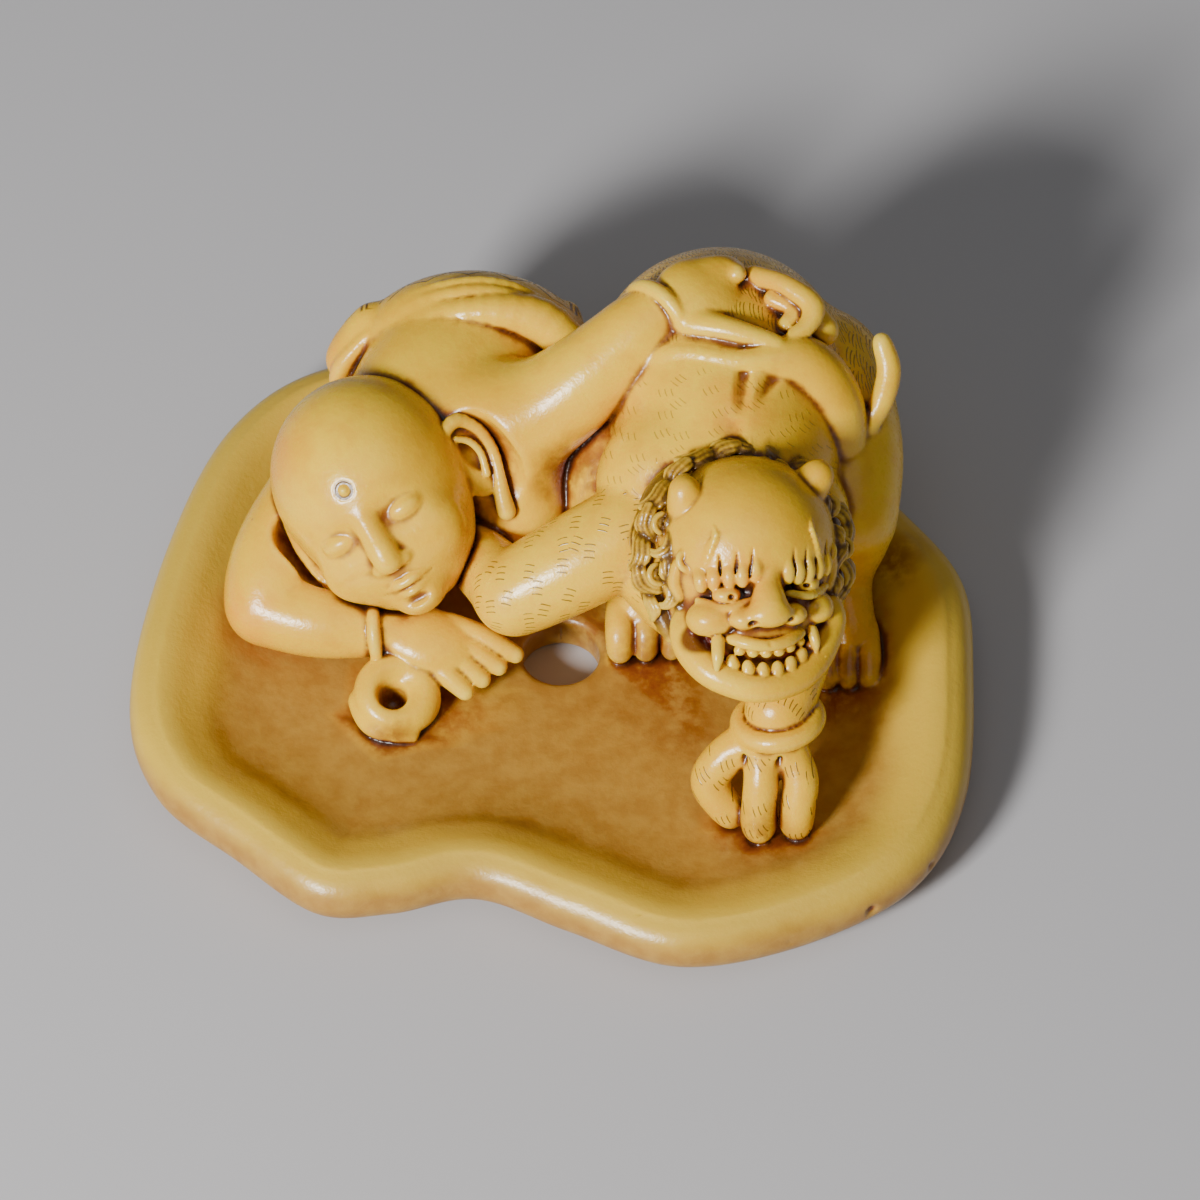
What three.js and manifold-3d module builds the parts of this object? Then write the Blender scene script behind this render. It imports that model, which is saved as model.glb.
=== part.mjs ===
// Netsuke: a shaven-headed monk and a horned demon wrestle on a curled leaf, all carved from one block.
// Millimetres, +Z up. +X is to the right of someone who faces the two heads, and +Y runs from the heads
// to the figures' backs. The origin is at the middle of the box's underside, where the leaf rests.
import * as THREE from "three";
import { mergeVertices } from "three/addons/utils/BufferGeometryUtils.js";
import Module from "manifold-3d";

const wasm = await Module();
wasm.setup();

// ---- driving dimensions -------------------------------------------------------------------------------
const FLOOR = 2.4; // height of the leaf's upper face in its middle
const FOOT_INSET = 6.5; // how far inside the outline the flat underside starts
const RIM_HIGH = 5.0; // top of the curled rim at the sides and the back
const RIM_LOW = 4.0; // top of the curled rim at the front
const EDGE_STEPS = 39; // points round the leaf's edge

// The leaf's outline, seen from above, anticlockwise from the front dent.
const LEAF_OUTLINE = [
  [-4.0, -15.3], [0.8, -17.3], [6.8, -19.6], [13.5, -18.2], [19.5, -14.6],
  [22.3, -9.0], [22.9, -1.0], [22.5, 4.8], [19.6, 9.4], [15.6, 13.8],
  [10.8, 17.6], [4.6, 19.6], [-4.0, 20.2], [-12.5, 20.0], [-18.0, 15.6], [-21.3, 7.0],
  [-22.9, -3.0], [-21.3, -8.9], [-17.0, -12.8], [-12.6, -16.2], [-8.4, -16.2],
];

// ---- small tools --------------------------------------------------------------------------------------
const radians = THREE.MathUtils.degToRad;
const lerp = THREE.MathUtils.lerp;

// A frame from a place and a turn in degrees about X, Y and Z.
function frame(place, turn = [0, 0, 0]) {
  const euler = new THREE.Euler(...turn.map(radians), "XYZ");
  const matrix = new THREE.Matrix4().makeRotationFromEuler(euler);
  return matrix.setPosition(...place);
}

// A closed skin over rings of equal count, with a fan at each end to the middle of its ring, or to its tip.
function loft(rings, tips = []) {
  const sides = rings[0].length;
  const points = rings.flat();
  const faces = [];
  for (let k = 0; k + 1 < rings.length; k++)
    for (let i = 0; i < sides; i++) {
      const a = k * sides + i;
      const b = k * sides + ((i + 1) % sides);
      faces.push(a, b, b + sides, a, b + sides, a + sides);
    }
  const cap = (ring, start, flip, tip) => {
    const middle = ring.reduce((sum, p) => sum.add(p), new THREE.Vector3()).divideScalar(sides);
    points.push(tip ?? middle);
    for (let i = 0; i < sides; i++) {
      const edge = [start + i, start + ((i + 1) % sides)];
      faces.push(points.length - 1, ...(flip ? edge.reverse() : edge));
    }
  };
  cap(rings[0], 0, true, tips[0]);
  cap(rings.at(-1), (rings.length - 1) * sides, false, tips[1]);
  return new THREE.BufferGeometry().setFromPoints(points).setIndex(faces);
}

// A rounded limb through stations [x, y, z, radius]. flat squeezes its section along the direction up.
function limb(stations, { sides = 7, steps = 2, flat = 1, up = [0, 0, 1] } = {}) {
  const path = new THREE.CatmullRomCurve3(
    stations.map(([x, y, z]) => new THREE.Vector3(x, y, z)), false, "catmullrom");
  const spans = stations.length - 1;
  const rows = []; // centre, direction and radius of each ring
  for (let k = 0; k <= spans * steps; k++) {
    const t = k / (spans * steps);
    const span = Math.min(Math.floor(t * spans), spans - 1);
    const radius = lerp(stations[span][3], stations[span + 1][3], t * spans - span);
    rows.push({ centre: path.getPoint(t), along: path.getTangent(t), radius });
  }
  const beyond = (row, reach) => row.centre.clone().addScaledVector(row.along, row.radius * reach);
  const shoulder = Math.SQRT1_2; // each end is a dome with one ring half way round
  const dome = (row, sign) => ({ ...row, centre: beyond(row, sign * shoulder), radius: row.radius * shoulder });
  const all = [dome(rows[0], -1), ...rows, dome(rows.at(-1), 1)];
  let side = new THREE.Vector3(...up);
  const rings = all.map(({ centre, along, radius }) => {
    side = side.clone().addScaledVector(along, -side.dot(along)).normalize();
    const across = new THREE.Vector3().crossVectors(along, side);
    return Array.from({ length: sides }, (_, i) => {
      const a = (i / sides) * 2 * Math.PI;
      return centre.clone()
        .addScaledVector(side, radius * flat * Math.cos(a))
        .addScaledVector(across, radius * Math.sin(a));
    });
  });
  return loft(rings, [beyond(rows[0], -1), beyond(rows.at(-1), 1)]);
}

// An ellipsoid.
function ball(place, radii, { turn, sides = 12 } = {}) {
  const size = Array.isArray(radii) ? radii : [radii, radii, radii];
  return new THREE.SphereGeometry(1, sides, Math.round(sides / 2))
    .scale(...size).applyMatrix4(frame(place, turn));
}

// A round ring of wire, or part of one, about the local Z axis.
function hoop(place, radius, wire, { turn, sides = 6, around = 16 } = {}) {
  return new THREE.TorusGeometry(radius, wire, sides, around).applyMatrix4(frame(place, turn));
}

// Puts a list of shapes, made in a local frame, where that frame stands.
const placed = (shapes, matrix) => shapes.map((shape) => shape.applyMatrix4(matrix));

// Both sides of a symmetric feature: make(1) and make(-1).
const pair = (make) => [make(1), make(-1)].flat();

// A closed geometry as a manifold solid.
function solid(geometry) {
  const bare = new THREE.BufferGeometry().setAttribute("position", geometry.getAttribute("position"));
  const merged = mergeVertices(bare.setIndex(geometry.index), 1e-5);
  const triVerts = new Uint32Array(merged.index.array);
  const make = () => new wasm.Manifold(new wasm.Mesh({
    numProp: 3, vertProperties: merged.attributes.position.array, triVerts,
  }));
  const made = make();
  if (made.volume() > 0) return made;
  for (let i = 0; i < triVerts.length; i += 3)
    [triVerts[i + 1], triVerts[i + 2]] = [triVerts[i + 2], triVerts[i + 1]];
  return make();
}

const union = (shapes) => wasm.Manifold.union(shapes.map(solid));

// ---- the leaf -----------------------------------------------------------------------------------------
function leaf() {
  const outline = new THREE.CatmullRomCurve3(
    LEAF_OUTLINE.map(([x, y]) => new THREE.Vector3(x, y, 0)), true, "catmullrom");
  const edge = outline.getPoints(EDGE_STEPS).slice(0, EDGE_STEPS);
  // Each row is how far inside the outline it runs, and its height for a rim of the given height.
  const rows = [
    [11, () => FLOOR],
    [6.5, () => FLOOR + 0.3],
    [3.6, (rim) => lerp(FLOOR, rim, 0.7)],
    [1.5, (rim) => rim],
    [0.35, (rim) => rim - 0.6],
    [0, (rim) => rim - 1.6],
    [1.0, (rim) => rim - 2.8],
    [3.5, () => 0.7],
    [FOOT_INSET, () => 0],
  ];
  return loft(rows.map(([inset, height]) =>
    edge.map((p) => {
      const reach = Math.hypot(p.x, p.y);
      const front = THREE.MathUtils.clamp(-p.y / 18, 0, 1);
      const rim = lerp(RIM_HIGH, RIM_LOW, front);
      return new THREE.Vector3(p.x, p.y, 0).multiplyScalar(1 - inset / reach).setZ(height(rim));
    })));
}

// ---- the demon ----------------------------------------------------------------------------------------
function demonHead() {
  const shapes = [
    ball([0, -0.1, 1.5], [5.1, 5.1, 5.0], { sides: 12 }), // skull and domed forehead
    ball([0.2, -0.8, -2.1], [4.1, 3.8, 3.3], { sides: 10 }), // jaw
    limb([[-4.2, -2.4, -1.9, 0.65], [-3.2, -3.9, -4.1, 0.7], [-0.2, -4.8, -5.1, 0.65], [3.1, -3.8, -4.1, 0.65],
      [4.3, -2.4, -1.8, 0.6]], { sides: 6, steps: 1 }), // lower lip
    limb([[0, -4.3, 1.2, 0.8], [0, -5.5, -0.9, 1.15]], { sides: 6, steps: 1 }), // bridge of the nose
    ball([0, -4.4, -2.5], [2.7, 1.4, 0.7], { sides: 7 }), // upper lip
    ...pair((s) => [
      ball([1.3 * s, -5.2, -1.2], 0.95, { sides: 6 }), // nostril wing
      ball([3.3 * s, -3.7, -1.3], 1.6, { sides: 7 }), // cheek
      ball([2.3 * s, -4.3, 0], 0.8, { sides: 6 }), // eyeball
      limb([[1.0 * s, -4.9, 0.9, 0.5], [3.9 * s, -3.4, 1.5, 0.6]], { sides: 5, steps: 1 }), // brow
      limb([[3.25 * s, -1.2, 4.1, 1.0], [3.8 * s, -1.7, 5.3, 0.75]], { sides: 7, steps: 1 }), // horn
      limb([[2.8 * s, -4.9, -2.6, 0.45], [2.75 * s, -5.4, -4.0, 0.2]], { sides: 5, steps: 1 }), // fang
    ]),
  ];
  // A row of lower teeth behind the lip.
  for (let i = -1.5; i <= 1.5; i++)
    shapes.push(ball([1.3 * i, -4.8 + 0.25 * i * i, -4.0 + 0.2 * i * i], [0.6, 0.45, 0.7], { sides: 4 }));
  // Locks of hair from jaw to jaw over the crown, in two rows.
  const lock = (angle, out, back, size) => {
    const a = radians(angle);
    return ball([out * Math.sin(a), back, 1.2 + out * Math.cos(a)], [size, size * 1.2, size * 0.8],
      { turn: [0, angle, 30], sides: 5 });
  };
  for (let k = 0; k < 9; k++) shapes.push(lock(-126 + 31 * k, 5.2, 0.3 + 0.4 * Math.cos(2.1 * k), 1.5));
  for (let k = 0; k < 4; k++) shapes.push(lock(-81 + 54 * k, 4.8, 3.0, 2.0));
  return shapes;
}

function demon() {
  const body = [
    limb([[10.0, 2.6, 12.2, 4.6], [10.0, 7.0, 12.4, 5.6], [9.2, 12.4, 12.2, 6.9], [9.2, 13.5, 10.2, 6.3]],
      { sides: 12, steps: 1 }), // chest, back and rump
    ball([6.4, 5.4, 11.8], [4.0, 3.6, 4.6], { sides: 10 }), // right shoulder blade
    // The chest below the chin.
    limb([[5.4, 1.4, 10.1, 2.2], [7.2, -0.6, 9.6, 2.1], [9.4, -2.6, 9.2, 1.8]], { steps: 1 }),
    ball([9.2, 13.1, 7.4], [6.6, 5.5, 6.0], { sides: 10 }), // seat, down to the leaf
  ];
  const arms = [
    limb([[4.4, 2.6, 11.3, 2.55], [1.4, 1.5, 9.9, 2.55], [-2.0, 0.6, 8.2, 2.3]]),
    limb([[-2.0, 0.6, 8.2, 2.0], [-4.6, 4.6, 7.0, 1.6]], { steps: 1 }), // forearm, under the monk's chin
    limb([[13.4, 3.2, 12.0, 2.6], [13.3, -2.6, 10.6, 2.2], [12.1, -7.5, 8.6, 1.8]]),
  ];
  const hand = [
    hoop([12.1, -7.7, 7.9], 2.0, 0.6, { turn: [-16, -8, 0], sides: 5, around: 12 }), // bangle
    ball([11.7, -8.8, 7.1], [2.2, 1.5, 1.4], { turn: [45, 0, 0], sides: 8 }), // back of the hand
    limb([[10.3, -8.7, 6.9, 0.95], [8.6, -9.4, 5.0, 0.95], [9.7, -10.8, 3.2, 0.8]], { sides: 6, steps: 1 }),
    limb([[11.3, -9.2, 6.9, 0.95], [11.1, -10.9, 5.3, 0.95], [11.1, -11.6, 3.2, 0.9]], { sides: 6, steps: 1 }),
    limb([[12.5, -9.0, 6.9, 0.95], [13.2, -10.4, 5.3, 0.95], [13.1, -11.3, 3.2, 0.9]], { sides: 6, steps: 1 }),
  ];
  const legs = [
    limb([[14.2, 12.8, 11.4, 4.2], [15.7, 8.6, 10.6, 3.3], [16.0, 5.2, 9.3, 2.7]], { sides: 8, steps: 1 }),
    limb([[16.2, 5.2, 8.6, 2.4], [15.7, 4.2, 5.2, 1.7], [16.3, 1.4, 3.6, 1.3]], { sides: 6, steps: 1 }),
    limb([[4.4, 12.5, 10.2, 3.4], [3.4, 8.4, 8.2, 2.8], [4.0, 5.2, 7.2, 2.3]], { sides: 7, steps: 1 }),
    limb([[4.0, 5.4, 8.0, 2.1], [4.5, 5.0, 5.2, 1.6], [4.8, 2.8, 4.0, 1.5]], { sides: 6, steps: 1 }),
  ];
  const toes = [];
  for (let i = 0; i < 3; i++) {
    toes.push(limb([[3.8 + 1.1 * i, 2.8, 4.2, 0.85], [3.7 + 1.4 * i, 0.7, 3.1, 0.78 - 0.08 * i]],
      { sides: 5, steps: 1 }));
    toes.push(limb([[15.5 + 0.8 * i, 1.8, 3.6, 0.7], [15.0 + 1.1 * i, -1.1, 2.9, 0.65]],
      { sides: 5, steps: 1 }));
  }
  const cloth = [
    // The rolled waistband of the fur breeches, which swells over the left hip and runs down the flank.
    limb([[4.2, 10.0, 15.4, 1.0], [6.9, 9.4, 17.4, 0.6], [10.1, 8.5, 18.0, 0.6], [13.3, 9.2, 17.1, 1.5],
      [15.1, 8.3, 15.1, 1.6], [15.8, 7.0, 12.6, 1.1]], { sides: 6, steps: 1 }),
    // The end of the sash stands up behind the hip.
    limb([[17.0, 8.0, 13.4, 0.7], [18.0, 9.6, 15.2, 0.9], [17.8, 11.0, 16.9, 0.8]],
      { sides: 6, steps: 1, flat: 0.6, up: [1, 0, 0] }),
    // The knot of the sash, which the monk's hand holds.
    limb([[9.4, 13.8, 18.2, 0.8], [12.6, 13.2, 18.2, 0.8], [14.6, 11.6, 17.2, 0.9]], { sides: 6, steps: 1 }),
    // Hem of the breeches at the left knee.
    limb([[17.8, 6.8, 11.8, 0.4], [18.2, 4.9, 9.4, 0.5], [16.4, 3.9, 7.2, 0.4]], { sides: 5, steps: 1 }),
  ];
  const head = placed(demonHead(), frame([10.1, -2.0, 13.1], [-42, -1, 16]));
  return [...body, ...arms, ...hand, ...legs, ...toes, ...cloth, ...head];
}

// ---- the monk -----------------------------------------------------------------------------------------
function monkHead() {
  return [
    ball([0, 0.3, 1.0], [5.4, 5.6, 5.5]), // cranium
    ball([0, -1.7, -2.4], [4.2, 3.9, 4.1], { sides: 10 }), // cheeks and jaw
    ball([0, -4.3, -5.0], [1.3, 1.1, 0.9], { sides: 6 }), // chin
    limb([[0, -5.0, 0.2, 0.45], [0, -6.0, -2.0, 0.75]], { sides: 6, steps: 1 }), // nose
    ball([0, -5.3, -3.6], [1.2, 0.7, 0.3], { sides: 6 }), // upper lip
    ball([0, -5.2, -4.2], [1.0, 0.7, 0.35], { sides: 6 }), // lower lip
    ...pair((s) => [
      limb([[0.8 * s, -5.1, 0.6, 0.3], [2.4 * s, -4.7, 0.9, 0.35], [3.7 * s, -3.8, 0.3, 0.25]],
        { sides: 5, steps: 1 }), // brow
      ball([1.9 * s, -4.6, -0.5], [1.0, 0.7, 0.6], { sides: 7 }), // lidded eye
      limb([[4.8 * s, -0.5, 0.0, 0.6], [5.5 * s, 0.1, 1.2, 0.7], [6.4 * s, 0.7, 0.0, 0.7],
        [5.9 * s, 0.4, -2.6, 0.6], [5.4 * s, 0.1, -4.3, 0.55]], { sides: 6, steps: 1 }), // long-lobed ear
    ]),
  ];
}

function monk() {
  const body = [
    limb([[-8.0, 8.6, 9.2, 4.5], [-6.2, 12.0, 9.8, 5.0], [-4.6, 15.2, 9.6, 5.2]], { sides: 12, steps: 1 }),
    ball([-2.6, 9.5, 11.0], [3.7, 3.7, 3.8], { sides: 10 }), // left shoulder
    ball([-1.9, 7.8, 7.4], [3.0, 3.2, 3.4], { sides: 8 }), // left side of the chest
    ball([-8.0, 9.4, 6.4], [4.2, 5.0, 4.0], { sides: 8 }), // chest on the leaf
  ];
  const rightArm = [
    limb([[-11.8, 8.8, 8.8, 2.5], [-14.6, 5.0, 6.8, 2.3], [-15.6, 2.0, 5.3, 2.1]]),
    limb([[-15.6, 2.0, 5.3, 2.1], [-12.6, 0.9, 5.4, 1.9], [-9.4, 0.4, 5.3, 1.4]], { steps: 1 }),
    ball([-6.7, -0.2, 5.1], [2.7, 1.9, 1.2], { turn: [14, 6, -18], sides: 8 }), // back of the hand
    hoop([-9.5, 0.4, 5.2], 1.7, 0.36, { turn: [0, 84, 0], sides: 4, around: 12 }), // bangle
  ];
  for (let i = 0; i < 4; i++)
    rightArm.push(limb([[-5.6 - 0.3 * i, 0.7 - 0.68 * i, 5.3 - 0.22 * i, 0.72],
      [-1.9 - 0.95 * i, -0.75 - 0.66 * i, 4.6 - 0.27 * i, 0.5]], { sides: 5, steps: 1 }));
  const leftArm = [
    limb([[-3.4, 9.6, 11.6, 3.0], [-0.4, 9.6, 13.1, 2.3], [2.2, 10.3, 15.3, 1.95], [5.6, 12.0, 17.9, 1.65]],
      { sides: 8 }),
    hoop([5.8, 11.9, 17.7], 2.0, 0.45, { turn: [-96, 44, 0], sides: 5, around: 12 }), // bangle
    ball([7.9, 12.6, 18.6], [2.5, 2.5, 1.5], { turn: [8, 8, 25], sides: 8 }), // back of the hand
    limb([[9.1, 14.0, 18.9, 1.1], [10.9, 14.0, 18.9, 0.6], [12.5, 12.9, 19.4, 0.6], [14.0, 11.7, 19.1, 0.65],
      [13.0, 10.0, 18.5, 0.45]], { sides: 6, steps: 1 }), // long finger, bent back at its end
    limb([[7.5, 10.9, 18.6, 0.85], [12.1, 9.3, 18.8, 0.5]], { sides: 6, steps: 1 }), // forefinger
  ];
  const robe = [
    ball([-4.4, 15.4, 8.2], [7.2, 4.5, 7.0], { turn: [0, 4, 0], sides: 12 }), // over the hips
    // Two rolled folds of the robe round the bare back.
    limb([[-10.3, 14.2, 9.6, 0.8], [-8.3, 14.9, 12.8, 0.85], [-4.6, 15.0, 14.7, 0.9], [-0.6, 14.8, 14.2, 1.2],
      [2.0, 13.2, 12.0, 1.0]], { sides: 6, steps: 1 }),
    limb([[-10.5, 15.8, 9.9, 0.8], [-8.2, 16.5, 13.6, 0.8], [-4.6, 16.6, 15.3, 0.75], [-1.2, 16.3, 14.7, 0.7]],
      { sides: 5, steps: 1 }),
    // A loose end of the robe at the right hip.
    limb([[-9.8, 16.8, 11.6, 1.2], [-11.2, 15.9, 9.6, 1.3]], { sides: 7, steps: 1 }),
  ];
  const pouch = [
    ball([-8.4, -2.8, 3.0], [2.3, 1.9, 1.4], { sides: 8 }),
    hoop([-8.4, -2.9, 3.9], 1.5, 0.85, { turn: [20, 8, 0], sides: 6, around: 10 }),
    limb([[-10.4, -3.0, 3.4, 0.65], [-9.6, -4.4, 3.0, 0.55], [-7.6, -4.8, 2.7, 0.4]], { sides: 5, steps: 1 }),
  ];
  const head = placed(monkHead(), frame([-9.4, 6.1, 10.1], [-32, -33, -5]));
  return [...body, ...rightArm, ...leftArm, ...robe, ...pouch, ...head];
}

// ---- cuts ---------------------------------------------------------------------------------------------
function cuts() {
  const cordHole = [[0.45, 1.2, 3.2, 2.1], [0.45, 1.2, -2.5, 2.1]];
  return [limb(cordHole, { sides: 16, steps: 1, up: [0, 1, 0] })];
}

// ---- the whole carving --------------------------------------------------------------------------------
const carving = union([leaf(), ...demon(), ...monk()]).subtract(union(cuts()));

function toGeometry(made) {
  const { vertProperties, triVerts } = made.getMesh();
  return new THREE.BufferGeometry()
    .setAttribute("position", new THREE.BufferAttribute(vertProperties, 3))
    .setIndex(new THREE.BufferAttribute(triVerts, 1));
}

const geometry = toGeometry(carving);
geometry.computeBoundingBox();
const { min, max } = geometry.boundingBox;
geometry.translate(-(min.x + max.x) / 2, -(min.y + max.y) / 2, -min.z);
geometry.computeVertexNormals();

const ivory = new THREE.MeshStandardMaterial({ color: 0xe6cf93, roughness: 0.32, metalness: 0 });
const mesh = new THREE.Mesh(geometry, ivory);
mesh.name = "carving";

const netsuke = new THREE.Group();
netsuke.add(mesh);
export default netsuke;
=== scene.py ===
import math

import bpy
import numpy as np
import openvdb
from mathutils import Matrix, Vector


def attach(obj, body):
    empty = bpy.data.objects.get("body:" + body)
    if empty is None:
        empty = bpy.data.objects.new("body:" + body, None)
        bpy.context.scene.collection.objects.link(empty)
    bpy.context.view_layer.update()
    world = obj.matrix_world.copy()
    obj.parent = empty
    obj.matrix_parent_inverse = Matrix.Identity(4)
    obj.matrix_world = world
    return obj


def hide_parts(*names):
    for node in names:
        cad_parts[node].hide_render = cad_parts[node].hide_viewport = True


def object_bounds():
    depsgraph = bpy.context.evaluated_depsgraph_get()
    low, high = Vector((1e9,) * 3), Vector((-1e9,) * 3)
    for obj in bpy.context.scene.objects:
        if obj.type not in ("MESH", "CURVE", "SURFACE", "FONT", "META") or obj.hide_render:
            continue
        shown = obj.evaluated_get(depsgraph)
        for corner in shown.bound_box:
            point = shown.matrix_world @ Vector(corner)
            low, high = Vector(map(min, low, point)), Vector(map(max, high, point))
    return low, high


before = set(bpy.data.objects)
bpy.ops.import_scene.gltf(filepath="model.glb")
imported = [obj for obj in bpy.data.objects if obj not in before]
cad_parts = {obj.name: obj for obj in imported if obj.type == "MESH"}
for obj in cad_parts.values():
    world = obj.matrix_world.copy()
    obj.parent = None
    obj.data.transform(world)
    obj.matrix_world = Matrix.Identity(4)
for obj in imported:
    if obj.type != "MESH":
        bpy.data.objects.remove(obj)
CAD_LOW, CAD_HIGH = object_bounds()

# ---- sizes, in millimetres ----------------------------------------------------------------------------
GRAIN = 0.15  # spacing of the whole carving's field
FACE_GRAIN = 0.11  # spacing of the monk head's field
HAIR_GRAIN = 0.085  # spacing of the demon head's field
FAR = 4.0  # distance given to places away from any form
TRIANGLES = 190000  # most triangles in a skin

FLOOR = 2.4  # height of the leaf's upper face in its middle
RIM_HIGH = 5.0  # top of the curled rim at the sides and the back
RIM_LOW = 4.0  # top of the curled rim at the front
ROLL = 1.6  # radius of the curled rim
LEAF_OUTLINE = [
    (-4.0, -15.3), (0.8, -17.3), (6.8, -19.6), (13.5, -18.2), (19.5, -14.6),
    (22.3, -9.0), (22.9, -1.0), (22.5, 4.8), (19.6, 9.4), (15.6, 13.8),
    (10.8, 17.6), (4.6, 19.6), (-4.0, 20.2), (-12.5, 20.0), (-18.0, 15.6), (-21.3, 7.0),
    (-22.9, -3.0), (-21.3, -8.9), (-17.0, -12.8), (-12.6, -16.2), (-8.4, -16.2),
]


# ---- small tools --------------------------------------------------------------------------------------
def turned(degrees):
    """The turn about X, then Y, then Z of the source's frames, as a matrix."""
    a, b, c = np.radians(degrees)
    about_x = np.array([[1, 0, 0], [0, math.cos(a), -math.sin(a)], [0, math.sin(a), math.cos(a)]])
    about_y = np.array([[math.cos(b), 0, math.sin(b)], [0, 1, 0], [-math.sin(b), 0, math.cos(b)]])
    about_z = np.array([[math.cos(c), -math.sin(c), 0], [math.sin(c), math.cos(c), 0], [0, 0, 1]])
    return about_x @ about_y @ about_z


def curve(points, steps, closed=False):
    """A Catmull-Rom curve through rows of numbers."""
    rows = np.array(points, float)
    if closed:
        padded = np.vstack([rows[-1:], rows, rows[:2]])
    else:
        padded = np.vstack([2 * rows[:1] - rows[1:2], rows, 2 * rows[-1:] - rows[-2:-1]])
    out = []
    for p0, p1, p2, p3 in zip(padded, padded[1:], padded[2:], padded[3:]):
        for t in np.arange(steps) / steps:
            out.append(0.5 * (2 * p1 + (p2 - p0) * t + (2 * p0 - 5 * p1 + 4 * p2 - p3) * t ** 2
                              + (3 * p1 - p0 - 3 * p2 + p3) * t ** 3))
    if not closed:
        out.append(rows[-1])
    return np.array(out)


def blended(a, b, k):
    """The smaller of two distances, with a rounded join of width k."""
    if k <= 0:
        return np.minimum(a, b)
    h = np.clip(0.5 + 0.5 * (b - a) / k, 0, 1)
    return b + (a - b) * h - k * h * (1 - h)


def ramp(value, low, high):
    """0 below low, 1 above high, and smooth between."""
    t = np.clip((value - low) / (high - low), 0, 1)
    return t * t * (3 - 2 * t)


# ---- forms: each knows its box and its distance at points ---------------------------------------------
class Cone:
    """A ball that runs from a to b while its radius goes from ra to rb."""

    def __init__(self, a, b, ra, rb):
        self.a, self.b, self.ra, self.rb = np.array(a, float), np.array(b, float), ra, rb

    def moved(self, turn, place):
        return Cone(turn @ self.a + place, turn @ self.b + place, self.ra, self.rb)

    def box(self):
        return (np.minimum(self.a - self.ra, self.b - self.rb), np.maximum(self.a + self.ra, self.b + self.rb))

    def dist(self, x, y, z):
        a, way = self.a, self.b - self.a
        long2 = max(way @ way, 1e-9)
        t = np.clip(((x - a[0]) * way[0] + (y - a[1]) * way[1] + (z - a[2]) * way[2]) / long2, 0, 1)
        gap = np.sqrt((x - a[0] - t * way[0]) ** 2 + (y - a[1] - t * way[1]) ** 2 + (z - a[2] - t * way[2]) ** 2)
        return gap - (self.ra + (self.rb - self.ra) * t)


class Blob:
    """An ellipsoid."""

    def __init__(self, place, radii, turn=None):
        self.place = np.array(place, float)
        self.radii = np.array(radii if np.ndim(radii) else [radii] * 3, float)
        self.turn = np.eye(3) if turn is None else turn

    def moved(self, turn, place):
        return Blob(turn @ self.place + place, self.radii, turn @ self.turn)

    def box(self):
        reach = np.sqrt(((self.turn * self.radii) ** 2).sum(axis=1))
        return self.place - reach, self.place + reach

    def own(self, x, y, z):
        dx, dy, dz = x - self.place[0], y - self.place[1], z - self.place[2]
        return [self.turn[0, i] * dx + self.turn[1, i] * dy + self.turn[2, i] * dz for i in range(3)]

    def dist(self, x, y, z):
        u, v, w = self.own(x, y, z)
        a, b, c = self.radii
        k0 = np.sqrt((u / a) ** 2 + (v / b) ** 2 + (w / c) ** 2)
        k1 = np.sqrt((u / a ** 2) ** 2 + (v / b ** 2) ** 2 + (w / c ** 2) ** 2)
        return k0 * (k0 - 1) / np.maximum(k1, 1e-6)


class Ring(Blob):
    """A ring of round wire about the local Z axis, which may be taller than wide by the factor tall."""

    def __init__(self, place, radius, wire, turn=None, tall=1.0):
        super().__init__(place, [radius + wire, radius + wire, wire * tall], turn)
        self.radius, self.wire, self.tall = radius, wire, tall

    def moved(self, turn, place):
        return Ring(turn @ self.place + place, self.radius, self.wire, turn @ self.turn, self.tall)

    def dist(self, x, y, z):
        u, v, w = self.own(x, y, z)
        return np.sqrt((np.sqrt(u * u + v * v) - self.radius) ** 2 + (w / self.tall) ** 2) - self.wire


def blob(place, radii, turn=(0, 0, 0)):
    return [Blob(place, radii, turned(turn))]


def ring(place, radius, wire, turn=(0, 0, 0), tall=1.0):
    return [Ring(place, radius, wire, turned(turn), tall)]


def limb(stations, steps=5):
    """A rounded limb through stations x, y, z, radius."""
    rows = curve(stations, steps)
    return [Cone(p[:3], q[:3], p[3], q[3]) for p, q in zip(rows, rows[1:])]


def mirrored(make):
    """Both sides of a symmetric feature: make(-1) and make(1)."""
    return make(-1) + make(1)


class Group:
    """Forms worked one after the other. Each is added or cut, with a join rounded over k."""

    def __init__(self):
        self.work = []

    def add(self, forms, k=0.3):
        self.work += [(form, k, 1) for form in forms]
        return self

    def cut(self, forms, k=0.15):
        self.work += [(form, k, -1) for form in forms]
        return self

    def moved(self, place, turn):
        matrix = turned(turn)
        self.work = [(form.moved(matrix, np.array(place, float)), k, sign) for form, k, sign in self.work]
        return self

    def box(self):
        boxes = [form.box() for form, _, sign in self.work if sign > 0]
        return np.min([b[0] for b in boxes], axis=0), np.max([b[1] for b in boxes], axis=0)

    def at(self, points):
        """Distance at loose points, for those close to the group."""
        out = np.full(len(points), FAR)
        low, high = self.box()
        close = np.flatnonzero(np.all((points > low - 0.6) & (points < high + 0.6), axis=1))
        own, here = points[close], np.full(len(close), FAR)
        for form, k, sign in self.work:
            low, high = form.box()
            reach = k + 0.6
            near = np.flatnonzero(np.all((own > low - reach) & (own < high + reach), axis=1))
            d = form.dist(*own[near].T)
            here[near] = blended(here[near], d, k) if sign > 0 else -blended(-here[near], d, k)
        out[close] = here
        return out


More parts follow.
